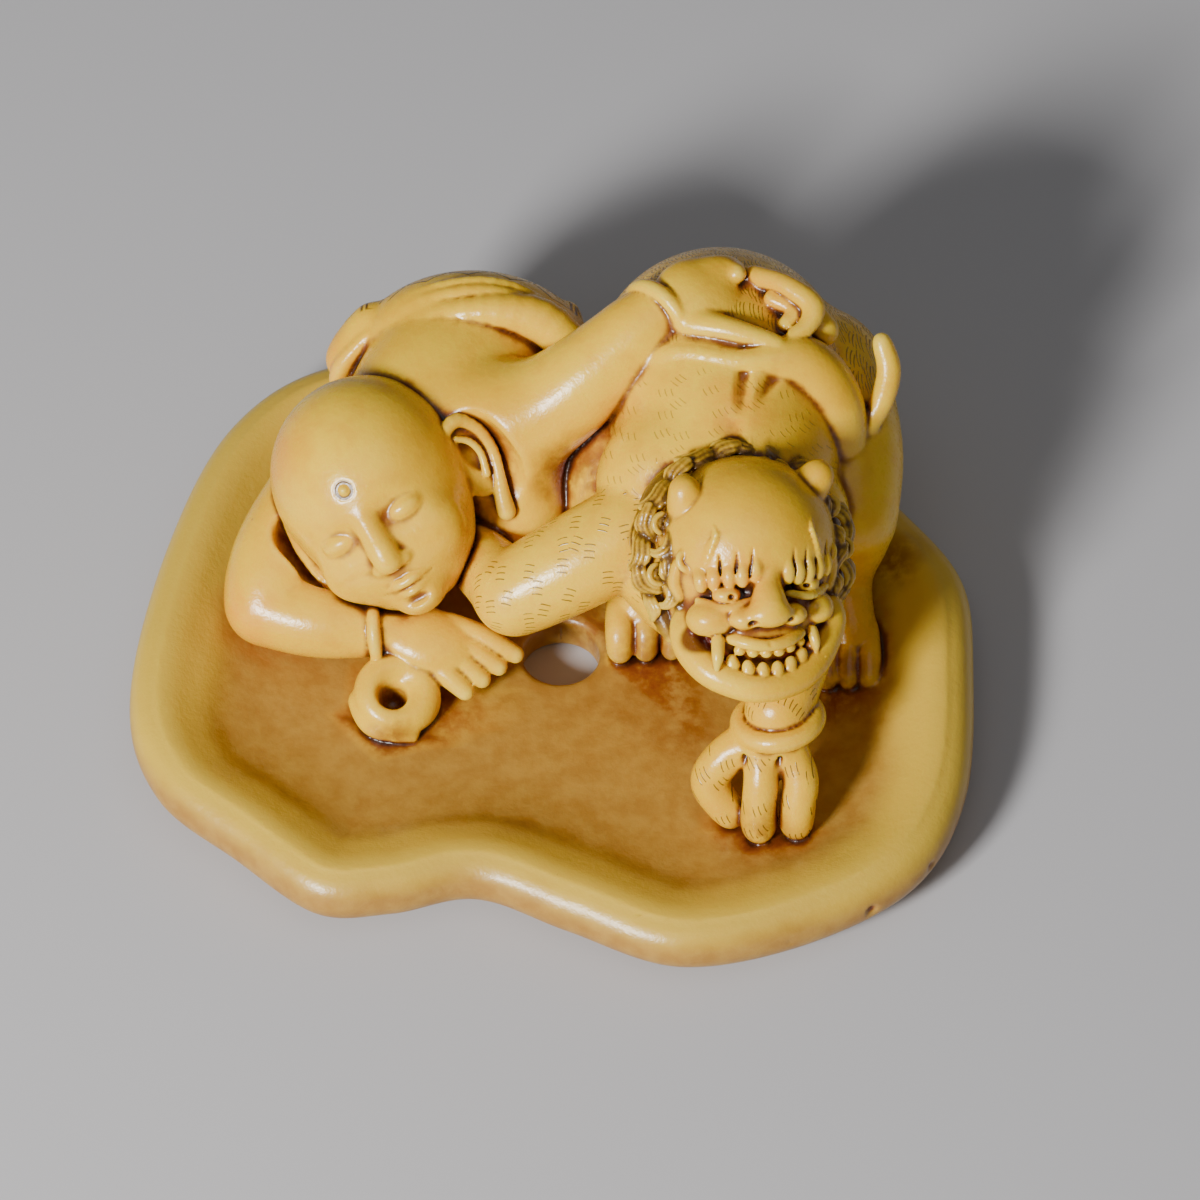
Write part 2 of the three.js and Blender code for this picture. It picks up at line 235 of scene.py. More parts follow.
# ---- the field ----------------------------------------------------------------------------------------
class Field:
    """Distances on a regular grid over a box."""

    def __init__(self, low, high, grain):
        self.low, self.grain = np.array(low, float), grain
        self.shape = np.ceil((np.array(high, float) - self.low) / grain).astype(int) + 1
        self.axes = [(self.low[i] + grain * np.arange(self.shape[i])).astype(np.float32) for i in range(3)]
        self.values = np.full(self.shape, FAR, np.float32)

    def copy(self):
        made = Field(self.low, self.low, self.grain)
        made.shape, made.axes, made.values = self.shape, self.axes, self.values.copy()
        return made

    def window(self, low, high, k, inside=None):
        """The slices of the grid round a box with joins of width k, kept inside other slices if given."""
        reach = k + 5 * self.grain
        first = np.clip(np.floor((low - reach - self.low) / self.grain).astype(int), 0, self.shape)
        last = np.clip(np.ceil((high + reach - self.low) / self.grain).astype(int) + 1, 0, self.shape)
        if inside:
            first = np.maximum(first, [s.start for s in inside])
            last = np.minimum(last, [s.stop for s in inside])
        return tuple(slice(int(a), int(max(a, b))) for a, b in zip(first, last))

    def places(self, part):
        """The places of a window's points, as three arrays that broadcast."""
        x, y, z = (axis[s] for axis, s in zip(self.axes, part))
        return x[:, None, None], y[None, :, None], z[None, None, :]

    def join(self, group, k):
        """Works a group on its own and joins it to the rest."""
        outer = self.window(*group.box(), k)
        own = np.full([s.stop - s.start for s in outer], FAR, np.float32)
        for form, round_off, sign in group.work:
            part = self.window(*form.box(), max(k, round_off), inside=outer)
            inner = tuple(slice(p.start - o.start, p.stop - o.start) for p, o in zip(part, outer))
            d = form.dist(*self.places(part)).astype(np.float32)
            if d.size:
                own[inner] = blended(own[inner], d, round_off) if sign > 0 else -blended(-own[inner], d, round_off)
        self.values[outer] = blended(self.values[outer], own, k)

    def cut(self, form, k):
        part = self.window(*form.box(), k)
        d = form.dist(*self.places(part)).astype(np.float32)
        self.values[part] = -blended(-self.values[part], d, k)

    def filled(self, radius):
        """How much of the carving lies round each point, from 0 to 1."""
        volume = np.clip(0.5 - self.values / self.grain, 0, 1)
        for _ in range(2):
            volume = box_blur(volume, max(int(round(radius / self.grain)), 1))
        return volume

    def sampled(self, volume, points):
        """A volume's values at loose points, in a straight line between grid points."""
        place = (points - self.low) / self.grain
        base = np.clip(np.floor(place).astype(int), 0, self.shape - 2)
        part = place - base
        out = np.zeros(len(points))
        for dx in (0, 1):
            for dy in (0, 1):
                for dz in (0, 1):
                    weight = np.abs(1 - dx - part[:, 0]) * np.abs(1 - dy - part[:, 1]) * np.abs(1 - dz - part[:, 2])
                    out += weight * volume[base[:, 0] + dx, base[:, 1] + dy, base[:, 2] + dz]
        return out


def box_blur(volume, n):
    """The mean of a volume over a cube that reaches n points each way."""
    for axis in range(3):
        padded = np.concatenate([np.repeat(np.take(volume, [0], axis), n + 1, axis), volume,
                                 np.repeat(np.take(volume, [-1], axis), n, axis)], axis)
        total = np.cumsum(padded, axis, dtype=np.float64)
        count = volume.shape[axis]
        upper = np.take(total, range(2 * n + 1, 2 * n + 1 + count), axis)
        volume = ((upper - np.take(total, range(count), axis)) / (2 * n + 1)).astype(np.float32)
    return volume


# ---- the leaf -----------------------------------------------------------------------------------------
def add_leaf(field):
    x, y = np.meshgrid(field.axes[0], field.axes[1], indexing="ij")
    line = curve(LEAF_OUTLINE, 16, closed=True)
    inset = np.full(x.shape, 99.0)
    inside = np.zeros(x.shape, bool)
    for (ax, ay), (bx, by) in zip(line, np.roll(line, -1, axis=0)):
        wx, wy = bx - ax, by - ay
        t = np.clip(((x - ax) * wx + (y - ay) * wy) / (wx * wx + wy * wy), 0, 1)
        inset = np.minimum(inset, np.hypot(x - ax - t * wx, y - ay - t * wy))
        crosses = (ay > y) != (by > y)
        inside ^= crosses & (x < ax + (y - ay) * wx / (wy if wy else 1e-9))
    inset = np.where(inside, inset, -inset)
    rim = RIM_HIGH + (RIM_LOW - RIM_HIGH) * np.clip(-y / 18, 0, 1)
    # The upper face falls from the rim in a wide slope, and the lower face is a flat foot with a soft edge.
    upper = curve([(0, 0.95), (1.2, 1.0), (2.4, 0.94), (3.8, 0.64), (5.2, 0.27), (7.0, 0.06), (9, 0.0), (14, 0.0), (40, 0)], 8)
    top = FLOOR + (rim - FLOOR) * np.interp(inset, upper[:, 0], upper[:, 1])
    under = curve([(0, 3.4), (ROLL, 1.75), (3.4, 0.75), (5.2, 0.2), (6.8, 0.0), (12, 0.0), (40, 0)], 8)
    bottom = np.maximum(np.interp(inset, under[:, 0], under[:, 1]), 0)
    steep_top = np.hypot(1, np.hypot(*np.gradient(top, field.grain)))
    steep_bottom = np.hypot(1, np.hypot(*np.gradient(bottom, field.grain)))
    high = int((RIM_HIGH + 2 - field.low[2]) / field.grain)
    z = field.axes[2][None, None, :high]
    sheet = np.maximum((z - top[..., None]) / steep_top[..., None], (bottom[..., None] - z) / steep_bottom[..., None])
    sheet = np.maximum(sheet, (ROLL - inset)[..., None])
    roll = np.hypot(inset[..., None] - ROLL, z - (rim - ROLL)[..., None]) - ROLL
    field.values[:, :, :high] = np.minimum(field.values[:, :, :high], blended(sheet, roll, 0.4))


# ---- the demon ----------------------------------------------------------------------------------------
DEMON_HEAD = dict(place=(10.1, -2.0, 13.1), turn=(-42, -1, 16))


def hair_lock(at, way, out, size, bend=0.5):
    """A carved lock: four strands side by side that run along way in an S and curl over at the tip."""
    at, way, out = (np.array(v, float) for v in (at, way, out))
    way, out = way / np.linalg.norm(way), out / np.linalg.norm(out)
    across = np.cross(way, out)
    strands = []
    for i in range(4):
        side = i - 1.5
        reach = 1.15 - 0.16 * abs(side)
        line = []
        for t, lift, lean in ((-1, 0.1, 0.5), (-0.5, 0.45, 0.2), (0.05, 0.55, -0.25), (0.55, 0.5, -0.1), (0.95, 0.3, 0.45),
                              (1.1, 0.0, 1.0)):
            spread = side * 0.3 * (1 - 0.45 * t * t) + bend * lean
            p = at + size * (way * t * reach + out * (lift - 0.06 * side * side) + across * spread)
            line.append((*p, (0.19 - 0.06 * max(t, 0)) * size))
        strands += limb(line, 2)
    return strands


def brow_at(x, z, lift=0.1):
    """A place just off the domed forehead, in the demon head's frame."""
    rest = 1 - ((x - 0.1) / 4.5) ** 2 - ((z - 2.2) / 4.1) ** 2
    return x, -0.9 - 4.2 * math.sqrt(max(rest, 0)) - lift, z


def demon_head():
    head = Group()
    head.add(blob([0, 0.2, 1.2], [4.8, 4.9, 4.9]))  # skull
    head.add(blob([0.1, -0.9, 2.2], [4.5, 4.2, 4.1]), 1.2)  # domed forehead
    head.add(blob([0.2, -1.0, -2.3], [4.0, 3.75, 3.1]), 1.2)  # jaw
    # Sockets, eyeballs and the lids round them.
    head.cut(blob([-2.2, -5.0, -0.1], [1.6, 1.0, 0.75]), 0.3)
    head.cut(blob([2.4, -4.7, 0.1], [1.4, 1.0, 0.55], (0, -6, 0)), 0.3)
    head.add(blob([-2.1, -4.28, -0.2], [0.78, 0.7, 0.52]), 0.03)
    head.add(blob([2.35, -3.85, 0.05], [0.8, 0.68, 0.5]), 0.06)
    head.add(limb([(-3.5, -3.7, -0.5, 0.18), (-2.3, -4.72, -0.85, 0.2), (-1.0, -4.75, -0.5, 0.18)]), 0.12)
    head.add(limb([(3.7, -3.3, -0.25, 0.18), (2.5, -4.45, -0.5, 0.2), (1.2, -4.75, -0.25, 0.18)]), 0.12)
    head.cut(blob([-1.98, -5.05, -0.24], [0.24, 0.4, 0.22]), 0.04)  # drilled pupils
    head.cut(blob([2.3, -4.55, 0.05], [0.24, 0.35, 0.16]), 0.06)
    # The forehead's edge hangs over the eyes in short lobes, with grooves that run up from between them.
    lobes = [(-0.7, 0.75), (-1.35, 0.52), (-2.0, 0.42), (-2.7, 0.3), (-3.3, 0.2),
             (1.15, 0.55), (1.75, 0.45), (2.4, 0.45), (3.05, 0.5), (3.6, 0.6)]
    for x, z in lobes:
        root = brow_at(x * 0.98, z + 0.85, -0.1)
        tip = (x, -4.95 + 0.115 * x * x, z)
        head.add(limb([(*root, 0.36), (x, tip[1] - 0.02, z + 0.4, 0.4), (*tip, 0.32)], 2), 0.1)
    for x, z, lean in ((-1.02, 0.85, 0.1), (-1.68, 0.65, 0.0), (-2.35, 0.5, -0.1), (-3.0, 0.4, -0.15), (1.45, 0.7, 0.0),
                       (2.08, 0.65, 0.1), (2.72, 0.7, 0.15), (3.3, 0.75, 0.2)):
        head.cut(limb([(*brow_at(x, z, 0.3), 0.1), (*brow_at(x + lean, z + 0.8, 0.14), 0.1),
                       (*brow_at(x + 1.6 * lean, z + 1.5, 0.1), 0.03)], 3), 0.06)
    # Nose: a narrow bridge that broadens to a wide tip with drilled nostrils.
    head.add(limb([(0.05, -4.3, 1.3, 0.5), (0, -4.9, 0.2, 0.45), (-0.1, -5.45, -0.8, 0.85)]), 0.45)
    head.add(blob([-0.1, -4.5, -2.25], [1.9, 0.8, 0.55]), 0.3)
    head.add(blob([-0.1, -5.5, -1.15], [1.3, 0.9, 0.7]), 0.4)
    head.add(blob([-1.4, -4.95, -1.4], [0.78, 0.85, 0.58]), 0.3)
    head.add(blob([1.35, -4.9, -1.35], [0.76, 0.85, 0.58]), 0.3)
    head.cut(blob([-1.1, -5.95, -1.62], [0.3, 0.6, 0.26]), 0.06)
    head.cut(blob([1.0, -5.95, -1.55], [0.3, 0.6, 0.26]), 0.06)
    # Cheeks.
    head.add(blob([-2.75, -3.75, -1.5], [1.4, 1.3, 1.05]), 0.2)
    head.add(blob([3.1, -3.25, -1.35], [1.0, 1.15, 0.9]), 0.2)
    # Mouth: a grinning crescent cut deep, with lips, teeth and fangs.
    head.cut(limb([(-3.5, -3.5, -2.75, 0.5), (-2.6, -4.5, -3.3, 0.62), (-1.2, -5.1, -3.8, 0.75), (0.2, -5.2, -3.9, 0.8),
                   (1.7, -4.9, -3.65, 0.72), (2.9, -4.1, -3.05, 0.58), (3.7, -3.2, -2.4, 0.42)]), 0.12)
    head.cut(blob([-3.3, -3.75, -2.75], [0.5, 1.1, 0.45]), 0.08)  # deep corner
    head.add(limb([(-3.9, -1.9, -1.9, 0.45), (-3.75, -2.85, -3.2, 0.55), (-2.9, -3.95, -4.35, 0.56), (-1.4, -4.7, -5.05, 0.5),
                   (0.1, -4.9, -5.2, 0.48), (1.8, -4.5, -4.85, 0.5), (3.1, -3.6, -4.0, 0.54), (4.1, -2.6, -2.6, 0.55),
                   (4.3, -2.2, -1.6, 0.4)], 4), 0.7)  # lower lip
    head.add(limb([(-2.1, -4.5, -2.5, 0.24), (-1.2, -5.2, -2.72, 0.3), (-0.15, -5.4, -2.85, 0.28),
                   (0.95, -5.2, -2.72, 0.3), (1.9, -4.6, -2.45, 0.24)]), 0.14)  # upper lip
    head.cut(limb([(-0.12, -5.75, -2.3, 0.12), (-0.12, -5.8, -2.75, 0.14)]), 0.1)
    for x, y, z in ((-1.85, -4.5, -3.95), (-1.1, -4.85, -4.25), (-0.35, -5.02, -4.4), (0.42, -5.02, -4.38),
                    (1.18, -4.82, -4.2), (1.88, -4.45, -3.85), (2.5, -3.95, -3.4)):
        head.add(blob([x, y, z], [0.38, 0.36, 0.62], (0, 9 * x, 0)), 0.03)  # lower teeth
    for x, y, z in ((-1.5, -4.6, -3.15), (-0.85, -4.85, -3.25), (-0.15, -4.95, -3.3), (0.55, -4.9, -3.28),
                    (1.2, -4.7, -3.15), (1.85, -4.3, -2.95)):
        head.add(blob([x, y, z], [0.34, 0.3, 0.3]), 0.04)  # upper teeth
    head.add(limb([(-2.7, -4.6, -2.55, 0.36), (-2.82, -4.95, -3.3, 0.32), (-2.9, -5.0, -4.0, 0.16)]), 0.05)  # fangs
    head.add(limb([(2.65, -4.15, -2.45, 0.3), (2.75, -4.35, -3.0, 0.26), (2.8, -4.35, -3.5, 0.13)]), 0.05)
    # Horns: short, blunt and leaning out.
    head.add(limb([(-3.3, -1.3, 3.9, 0.95), (-3.45, -1.6, 4.6, 0.82), (-3.6, -1.8, 5.2, 0.66)]), 0.3)
    head.add(limb([(3.2, -1.1, 4.4, 0.98), (3.6, -1.4, 5.0, 0.86), (3.95, -1.6, 5.5, 0.7)]), 0.3)
    # Curled ears with a fan of hair that sweeps up from each over the temple.
    for s in (-1, 1):
        head.add(ring([3.75 * s, -2.95, 1.55], 0.52, 0.2, (78, 0, -42 * s)), 0.05)
        head.add(ring([3.7 * s, -3.05, 1.55], 0.2, 0.13, (78, 0, -42 * s)), 0.03)
        head.add(limb([(4.2 * s, -2.5, 1.3, 0.3), (4.3 * s, -2.2, 0.4, 0.34), (4.1 * s, -2.2, -0.5, 0.26)]), 0.12)
        for i in range(6):
            start = brow_at((3.55 - 0.1 * i) * s, 1.2 + 0.22 * i, 0.0)
            middle = brow_at((3.1 - 0.1 * i) * s, 1.45 + 0.32 * i, 0.15)
            end = brow_at((2.5 + 0.06 * i) * s, 1.9 + 0.4 * i, -0.12)
            head.add(limb([(*start, 0.15), (*middle, 0.15), (*end, 0.06)], 3), 0.04)
    return head.moved(**DEMON_HEAD)


def demon_hair():
    """Locks round the face from jaw to jaw, in a row beside the face, a row outside it and a row behind."""
    hair = Group()
    hair.add(limb([(-3.9, 0.0, -3.0, 0.4), (-4.6, 0.7, -0.6, 0.7), (-4.7, 1.1, 2.4, 0.75), (-3.5, 1.8, 4.6, 0.85),
                   (0, 2.3, 5.6, 1.0), (3.5, 1.9, 4.7, 1.0), (4.9, 1.2, 2.4, 0.9), (5.0, 0.8, -0.4, 0.8),
                   (4.4, 0.2, -2.8, 0.5)]), 0.3)
    middle = np.array([0.1, 0, 1.2])
    for k in range(17):
        angle = -124 + 15.5 * k
        a = math.radians(angle)
        out = np.array([math.sin(a), 0, math.cos(a)])
        along = np.array([math.cos(a), 0, -math.sin(a)]) * (1 if angle > 0 else -1)
        crown = math.cos(a) ** 2 if abs(angle) < 90 else 0
        swing = 0.55 if k % 2 else -0.45
        bend = 0.55 if k % 2 else -0.55
        small = 0.75 if abs(angle) > 110 else 1
        beside = middle + out * 4.55 + np.array([0, -1.75 + 2.4 * crown, 0])
        hair.add(hair_lock(beside, along + out * swing, out * 0.3 + [0, -1, 0], 0.85 * small, bend), 0.02)
        a += 0.14
        out = np.array([math.sin(a), 0, math.cos(a)])
        outside = middle + out * (5.55 - 0.35 * crown) + np.array([0, -0.25 + 1.7 * crown, 0])
        hair.add(hair_lock(outside, along - out * swing * 0.8, out * 0.8 + [0, -0.75, 0], 0.95 * small, -bend), 0.02)
        if abs(angle) < 100:
            behind = middle + out * 4.7 + np.array([0, 2.4 + 1.2 * crown, 0])
            hair.add(hair_lock(behind, along + [0, swing, 0], out + [0, 0.3, 0], 1.15, bend), 0.02)
    for angle, y in ((-96, -1.6), (-66, -1.2), (-40, -0.6), (88, -1.4), (62, -1.0)):
        a = math.radians(angle)
        for radius, wire in ((0.5, 0.17), (0.18, 0.13)):
            hair.add(ring([0.1 + 5.15 * math.sin(a), y, 1.2 + 5.15 * math.cos(a)], radius, wire, (82, 0, 30 * math.sin(a))), 0.02)
    return hair.moved(**DEMON_HEAD)


def demon_trunk():
    trunk = Group()
    trunk.add(limb([(10.0, 2.6, 12.2, 4.6), (10.0, 7.0, 12.4, 5.6), (9.2, 12.4, 12.2, 6.9), (9.2, 13.5, 10.2, 6.3)], 4))
    trunk.add(blob([6.4, 5.4, 11.8], [4.0, 3.6, 4.6]), 1.0)  # right shoulder blade
    trunk.add(limb([(5.4, 1.4, 10.1, 2.2), (7.2, -0.6, 9.6, 2.1), (9.4, -2.6, 9.2, 1.8)]), 0.8)  # chest below the chin
    trunk.add(blob([9.2, 13.1, 7.4], [6.6, 5.5, 6.0]), 1.5)
    # The spine's hollow between the shoulder blades, and two short creases below the waistband.
    trunk.cut(limb([(9.6, 2.6, 17.9, 0.5), (9.6, 5.0, 18.4, 0.4)]), 0.9)
    trunk.cut(limb([(10.3, 7.7, 18.4, 0.3), (10.1, 5.6, 18.0, 0.2)]), 0.4)
    trunk.cut(limb([(12.0, 7.6, 18.1, 0.28), (11.2, 6.3, 18.1, 0.16)]), 0.4)
    return trunk


DEMON_RIGHT_ARM = [(4.4, 2.6, 11.3, 2.55), (1.4, 1.5, 9.9, 2.55), (-2.0, 0.6, 8.2, 2.3)]
DEMON_LEFT_ARM = [(13.4, 3.2, 12.0, 2.6), (13.3, -2.6, 10.6, 2.2), (12.1, -7.5, 8.6, 1.8)]


def demon_arms():
    arms = Group()
    arms.add(limb(DEMON_RIGHT_ARM))
    arms.add(limb([(-2.0, 0.6, 8.2, 2.0), (-4.6, 4.6, 7.0, 1.6)]), 0.4)  # forearm, under the monk's chin
    arms.add(limb(DEMON_LEFT_ARM))
    return arms


def demon_hand():
    hand = Group()
    hand.add(blob([11.6, -8.9, 7.0], [2.1, 1.4, 1.3], (45, 0, 0)))
    hand.add(limb([(10.3, -8.5, 7.1, 0.95), (9.0, -9.1, 6.0, 0.92), (8.5, -9.6, 4.7, 0.9), (9.6, -10.6, 3.4, 0.82)]), 0.35)
    hand.add(limb([(11.3, -8.9, 7.2, 0.9), (11.2, -10.3, 5.9, 0.86), (11.1, -11.0, 4.6, 0.84), (11.1, -11.5, 3.4, 0.88)]), 0.25)
    hand.add(limb([(12.5, -8.7, 7.2, 0.9), (13.3, -10.0, 5.9, 0.88), (13.2, -10.9, 4.6, 0.84), (13.1, -11.3, 3.4, 0.84)]), 0.25)
    hand.cut(limb([(12.1, -10.4, 6.9, 0.16), (12.2, -9.4, 7.8, 0.1)]), 0.2)
    hand.cut(limb([(10.2, -10.0, 6.9, 0.16), (10.6, -9.2, 7.8, 0.1)]), 0.2)
    return hand


def demon_legs():
    legs = Group()
    legs.add(limb([(14.2, 12.8, 11.4, 4.2), (15.7, 8.6, 10.6, 3.3), (16.0, 5.2, 9.3, 2.7)]))
    legs.add(limb([(4.4, 12.5, 10.2, 3.4), (3.4, 8.4, 8.2, 2.8), (4.0, 5.2, 7.2, 2.3)]), 0.6)
    return legs


def demon_shins():
    shins = Group()
    shins.add(limb([(16.2, 5.2, 8.6, 2.4), (15.7, 4.2, 5.2, 1.7), (16.3, 1.4, 3.6, 1.3)]))
    shins.add(limb([(4.0, 5.4, 8.0, 2.1), (4.5, 5.0, 5.2, 1.6), (4.8, 2.8, 4.0, 1.5)]))
    for i in range(3):
        shins.add(limb([(3.8 + 1.1 * i, 2.8, 4.2, 0.85), (3.7 + 1.4 * i, 1.4, 3.9, 0.8 - 0.08 * i),
                        (3.7 + 1.4 * i, 0.7, 3.1, 0.72 - 0.08 * i)]), 0.15)
        shins.add(limb([(15.5 + 0.8 * i, 1.8, 3.6, 0.7), (15.0 + 1.1 * i, 0.0, 3.4, 0.66),
                        (15.0 + 1.1 * i, -1.1, 2.9, 0.6)]), 0.15)
    return shins


def demon_cloth():
    cloth = Group()
    # The rolled waistband swells over the left hip and runs down the flank.
    cloth.add(limb([(4.2, 10.0, 15.4, 1.0), (6.9, 9.4, 17.9, 0.55), (10.1, 8.5, 18.35, 0.55), (13.3, 9.2, 17.3, 1.5),
                    (15.1, 8.3, 15.1, 1.6), (15.8, 7.0, 12.6, 1.1)]))
    # The end of the sash stands up behind the hip.
    cloth.add(limb([(16.9, 7.8, 13.2, 0.5), (17.8, 8.8, 14.6, 0.6), (18.2, 10.0, 15.8, 0.6), (17.8, 11.0, 17.0, 0.5)]), 0.2)
    # The knot of the sash, which the monk's hand holds.
    cloth.add(limb([(9.4, 13.8, 18.2, 0.8), (12.6, 13.2, 18.2, 0.8), (14.6, 11.6, 17.2, 0.9)]), 0.2)
    # Hem of the breeches at the left knee.
    cloth.add(limb([(17.8, 6.8, 11.8, 0.4), (18.3, 5.2, 9.9, 0.45), (17.6, 4.3, 8.4, 0.45), (16.4, 3.9, 7.2, 0.4)]), 0.2)
    return cloth


# ---- the monk -----------------------------------------------------------------------------------------
MONK_HEAD = dict(place=(-9.4, 6.1, 10.1), turn=(-32, -33, -5))
RIGHT_EAR = [(-4.75, -1.4, 1.3, 0.35), (-5.0, -1.15, -0.7, 0.45), (-4.7, -1.45, -2.95, 0.42), (-4.15, -1.8, -4.5, 0.5)]


def monk_head():
    head = Group()
    head.add(blob([0, 0.3, 1.0], [5.3, 5.6, 5.5]))
    head.add(blob([0, -1.5, -2.3], [4.1, 3.9, 4.0]), 1.6)
    head.add(blob([0, -4.3, -5.0], [1.3, 1.1, 0.9]), 1.0)  # chin
    for s in (-1, 1):
        head.add(blob([2.6 * s, -3.6, -2.2], [1.5, 1.3, 1.4]), 1.2)  # cheek
        head.cut(blob([2.05 * s, -6.0, 0.1], [1.5, 1.1, 0.85]), 0.9)  # hollow of the eye
        head.add(blob([2.05 * s, -4.42, -0.1], [1.05, 0.72, 0.62], (0, 0, 10 * s)), 0.2)  # lidded eye
        head.cut(limb([(1.05 * s, -5.12, -0.42, 0.07), (2.1 * s, -5.3, -0.58, 0.09), (3.1 * s, -4.85, -0.38, 0.06)]), 0.05)
        head.add(blob([0.72 * s, -5.25, -2.25], [0.5, 0.55, 0.42]), 0.2)  # nostril wing
        head.cut(blob([0.42 * s, -5.75, -2.72], [0.2, 0.3, 0.16]), 0.08)
    # The left ear stands out from the head: shell, hollow, rolled edge, inner fold and long lobe.
    ear = lambda out, up, front: (4.5 + 0.82 * out + 0.57 * front, 0.57 * out - 0.82 * front - 0.6, up - 1.0)
    head.add(blob(ear(1.0, -0.1, -0.1), [1.4, 0.42, 2.2], (0, 0, 35)), 0.2)
    head.cut(blob(ear(1.25, 0.3, 0.5), [0.75, 0.6, 1.3], (0, 0, 35)), 0.08)
    head.add(limb([(*ear(0.0, 0.9, 0.1), 0.3), (*ear(0.5, 2.1, 0.2), 0.36), (*ear(1.6, 2.25, 0.2), 0.4),
                   (*ear(2.3, 1.2, 0.15), 0.38), (*ear(2.3, -0.3, 0.15), 0.33), (*ear(1.8, -1.6, 0.2), 0.33),
                   (*ear(1.3, -2.6, 0.2), 0.44), (*ear(1.0, -3.5, 0.1), 0.52)], 3), 0.06)
    head.add(limb([(*ear(0.9, 1.5, 0.3), 0.18), (*ear(1.45, 0.9, 0.3), 0.2), (*ear(1.6, 0.0, 0.3), 0.2),
                   (*ear(1.2, -1.1, 0.35), 0.22)], 3), 0.04)
    # The right ear is pressed to the arm, so only its edge and lobe show.
    head.add(limb(RIGHT_EAR), 0.12)
    head.cut(limb([(-4.85, -1.85, 0.2, 0.12), (-4.95, -1.7, -1.6, 0.14), (-4.65, -1.95, -3.0, 0.08)]), 0.06)
    head.add(limb([(0, -4.7, 0.9, 0.42), (0, -5.35, -0.6, 0.42), (0, -5.75, -1.9, 0.6)]), 0.55)  # nose
    head.add(blob([0, -5.75, -2.05], [0.62, 0.6, 0.5]), 0.3)
    head.cut(limb([(0, -5.6, -2.95, 0.12), (0, -5.55, -3.35, 0.14)]), 0.15)
    head.add(limb([(-1.25, -4.75, -3.72, 0.16), (-0.45, -5.2, -3.55, 0.26), (0, -5.28, -3.6, 0.24), (0.45, -5.2, -3.55, 0.26),
                   (1.25, -4.75, -3.72, 0.16)]), 0.15)
    head.add(limb([(-0.85, -4.85, -4.15, 0.2), (0, -5.12, -4.22, 0.34), (0.85, -4.85, -4.15, 0.2)]), 0.15)
    head.cut(limb([(-1.5, -4.8, -3.78, 0.06), (-0.7, -5.3, -3.88, 0.09), (0, -5.42, -3.9, 0.09), (0.7, -5.3, -3.88, 0.09),
                   (1.5, -4.8, -3.78, 0.06)]), 0.05)
    head.cut(limb([(-0.6, -5.35, -4.75, 0.12), (0.6, -5.35, -4.75, 0.12)]), 0.4)
    # The small ring between the brows: a groove round a low dome.
    head.cut(ring([0, -5.1, 2.5], 0.42, 0.13, (74, 0, 0)), 0.05)
    head.add(blob([0, -4.95, 2.5], [0.27, 0.3, 0.27]), 0.04)
    return head.moved(**MONK_HEAD)


MONK_LEFT_ARM = [(-3.4, 9.6, 11.6, 3.0), (-0.4, 9.6, 13.1, 2.3), (2.2, 10.3, 15.3, 1.95), (5.6, 12.0, 17.9, 1.65)]
MONK_RIGHT_ARM = [(-11.8, 8.8, 8.8, 2.5), (-14.6, 5.0, 6.8, 2.3), (-15.6, 2.0, 5.3, 2.1)]


def round_ears():
    """The room left free round the monk's ears."""
    room = Group().add(blob([6.1, -0.5, -1.3], [1.7, 1.5, 3.0]))
    room.add(limb([(x - 0.2, y - 0.2, z, r + 0.3) for x, y, z, r in RIGHT_EAR]))
    return [form for form, _, _ in room.moved(**MONK_HEAD).work]


def monk_body():
    body = Group()
    body.add(limb([(-8.0, 8.6, 9.2, 4.5), (-6.2, 12.0, 9.8, 5.0), (-4.6, 15.2, 9.6, 5.2)]))
    body.add(blob([-2.6, 9.5, 11.0], [3.7, 3.7, 3.8]), 1.2)
    body.add(blob([-1.9, 7.8, 7.4], [3.0, 3.2, 3.4]), 1.0)
    body.add(blob([-8.0, 9.4, 6.4], [4.2, 5.0, 4.0]), 1.5)
    body.add(limb(MONK_LEFT_ARM), 1.0)
    body.add(limb(MONK_RIGHT_ARM), 0.8)
    body.cut(round_ears(), 0.6)
    return body


def monk_forearm():
    arm = Group()
    arm.add(limb([(-15.6, 2.0, 5.3, 2.1), (-12.6, 0.9, 5.4, 1.9), (-9.4, 0.4, 5.3, 1.4)]))
    arm.cut(round_ears()[1:], 0.3)
    arm.cut(limb([(-14.4, 2.8, 7.4, 0.1), (-12.9, 2.7, 7.1, 0.22), (-11.3, 2.9, 6.9, 0.3)]), 0.3)  # fold of the elbow
    arm.add(blob([-6.7, -0.2, 5.1], [2.8, 1.9, 1.2], (14, 6, -18)), 0.7)
    for i in range(4):
        arm.add(limb([(-5.6 - 0.3 * i, 0.7 - 0.68 * i, 5.3 - 0.22 * i, 0.72), (-3.7 - 0.62 * i, 0.0 - 0.66 * i, 5.1 - 0.27 * i, 0.66),
                      (-2.0 - 0.9 * i, -0.75 - 0.64 * i, 4.6 - 0.27 * i, 0.5)]), 0.08)
    return arm


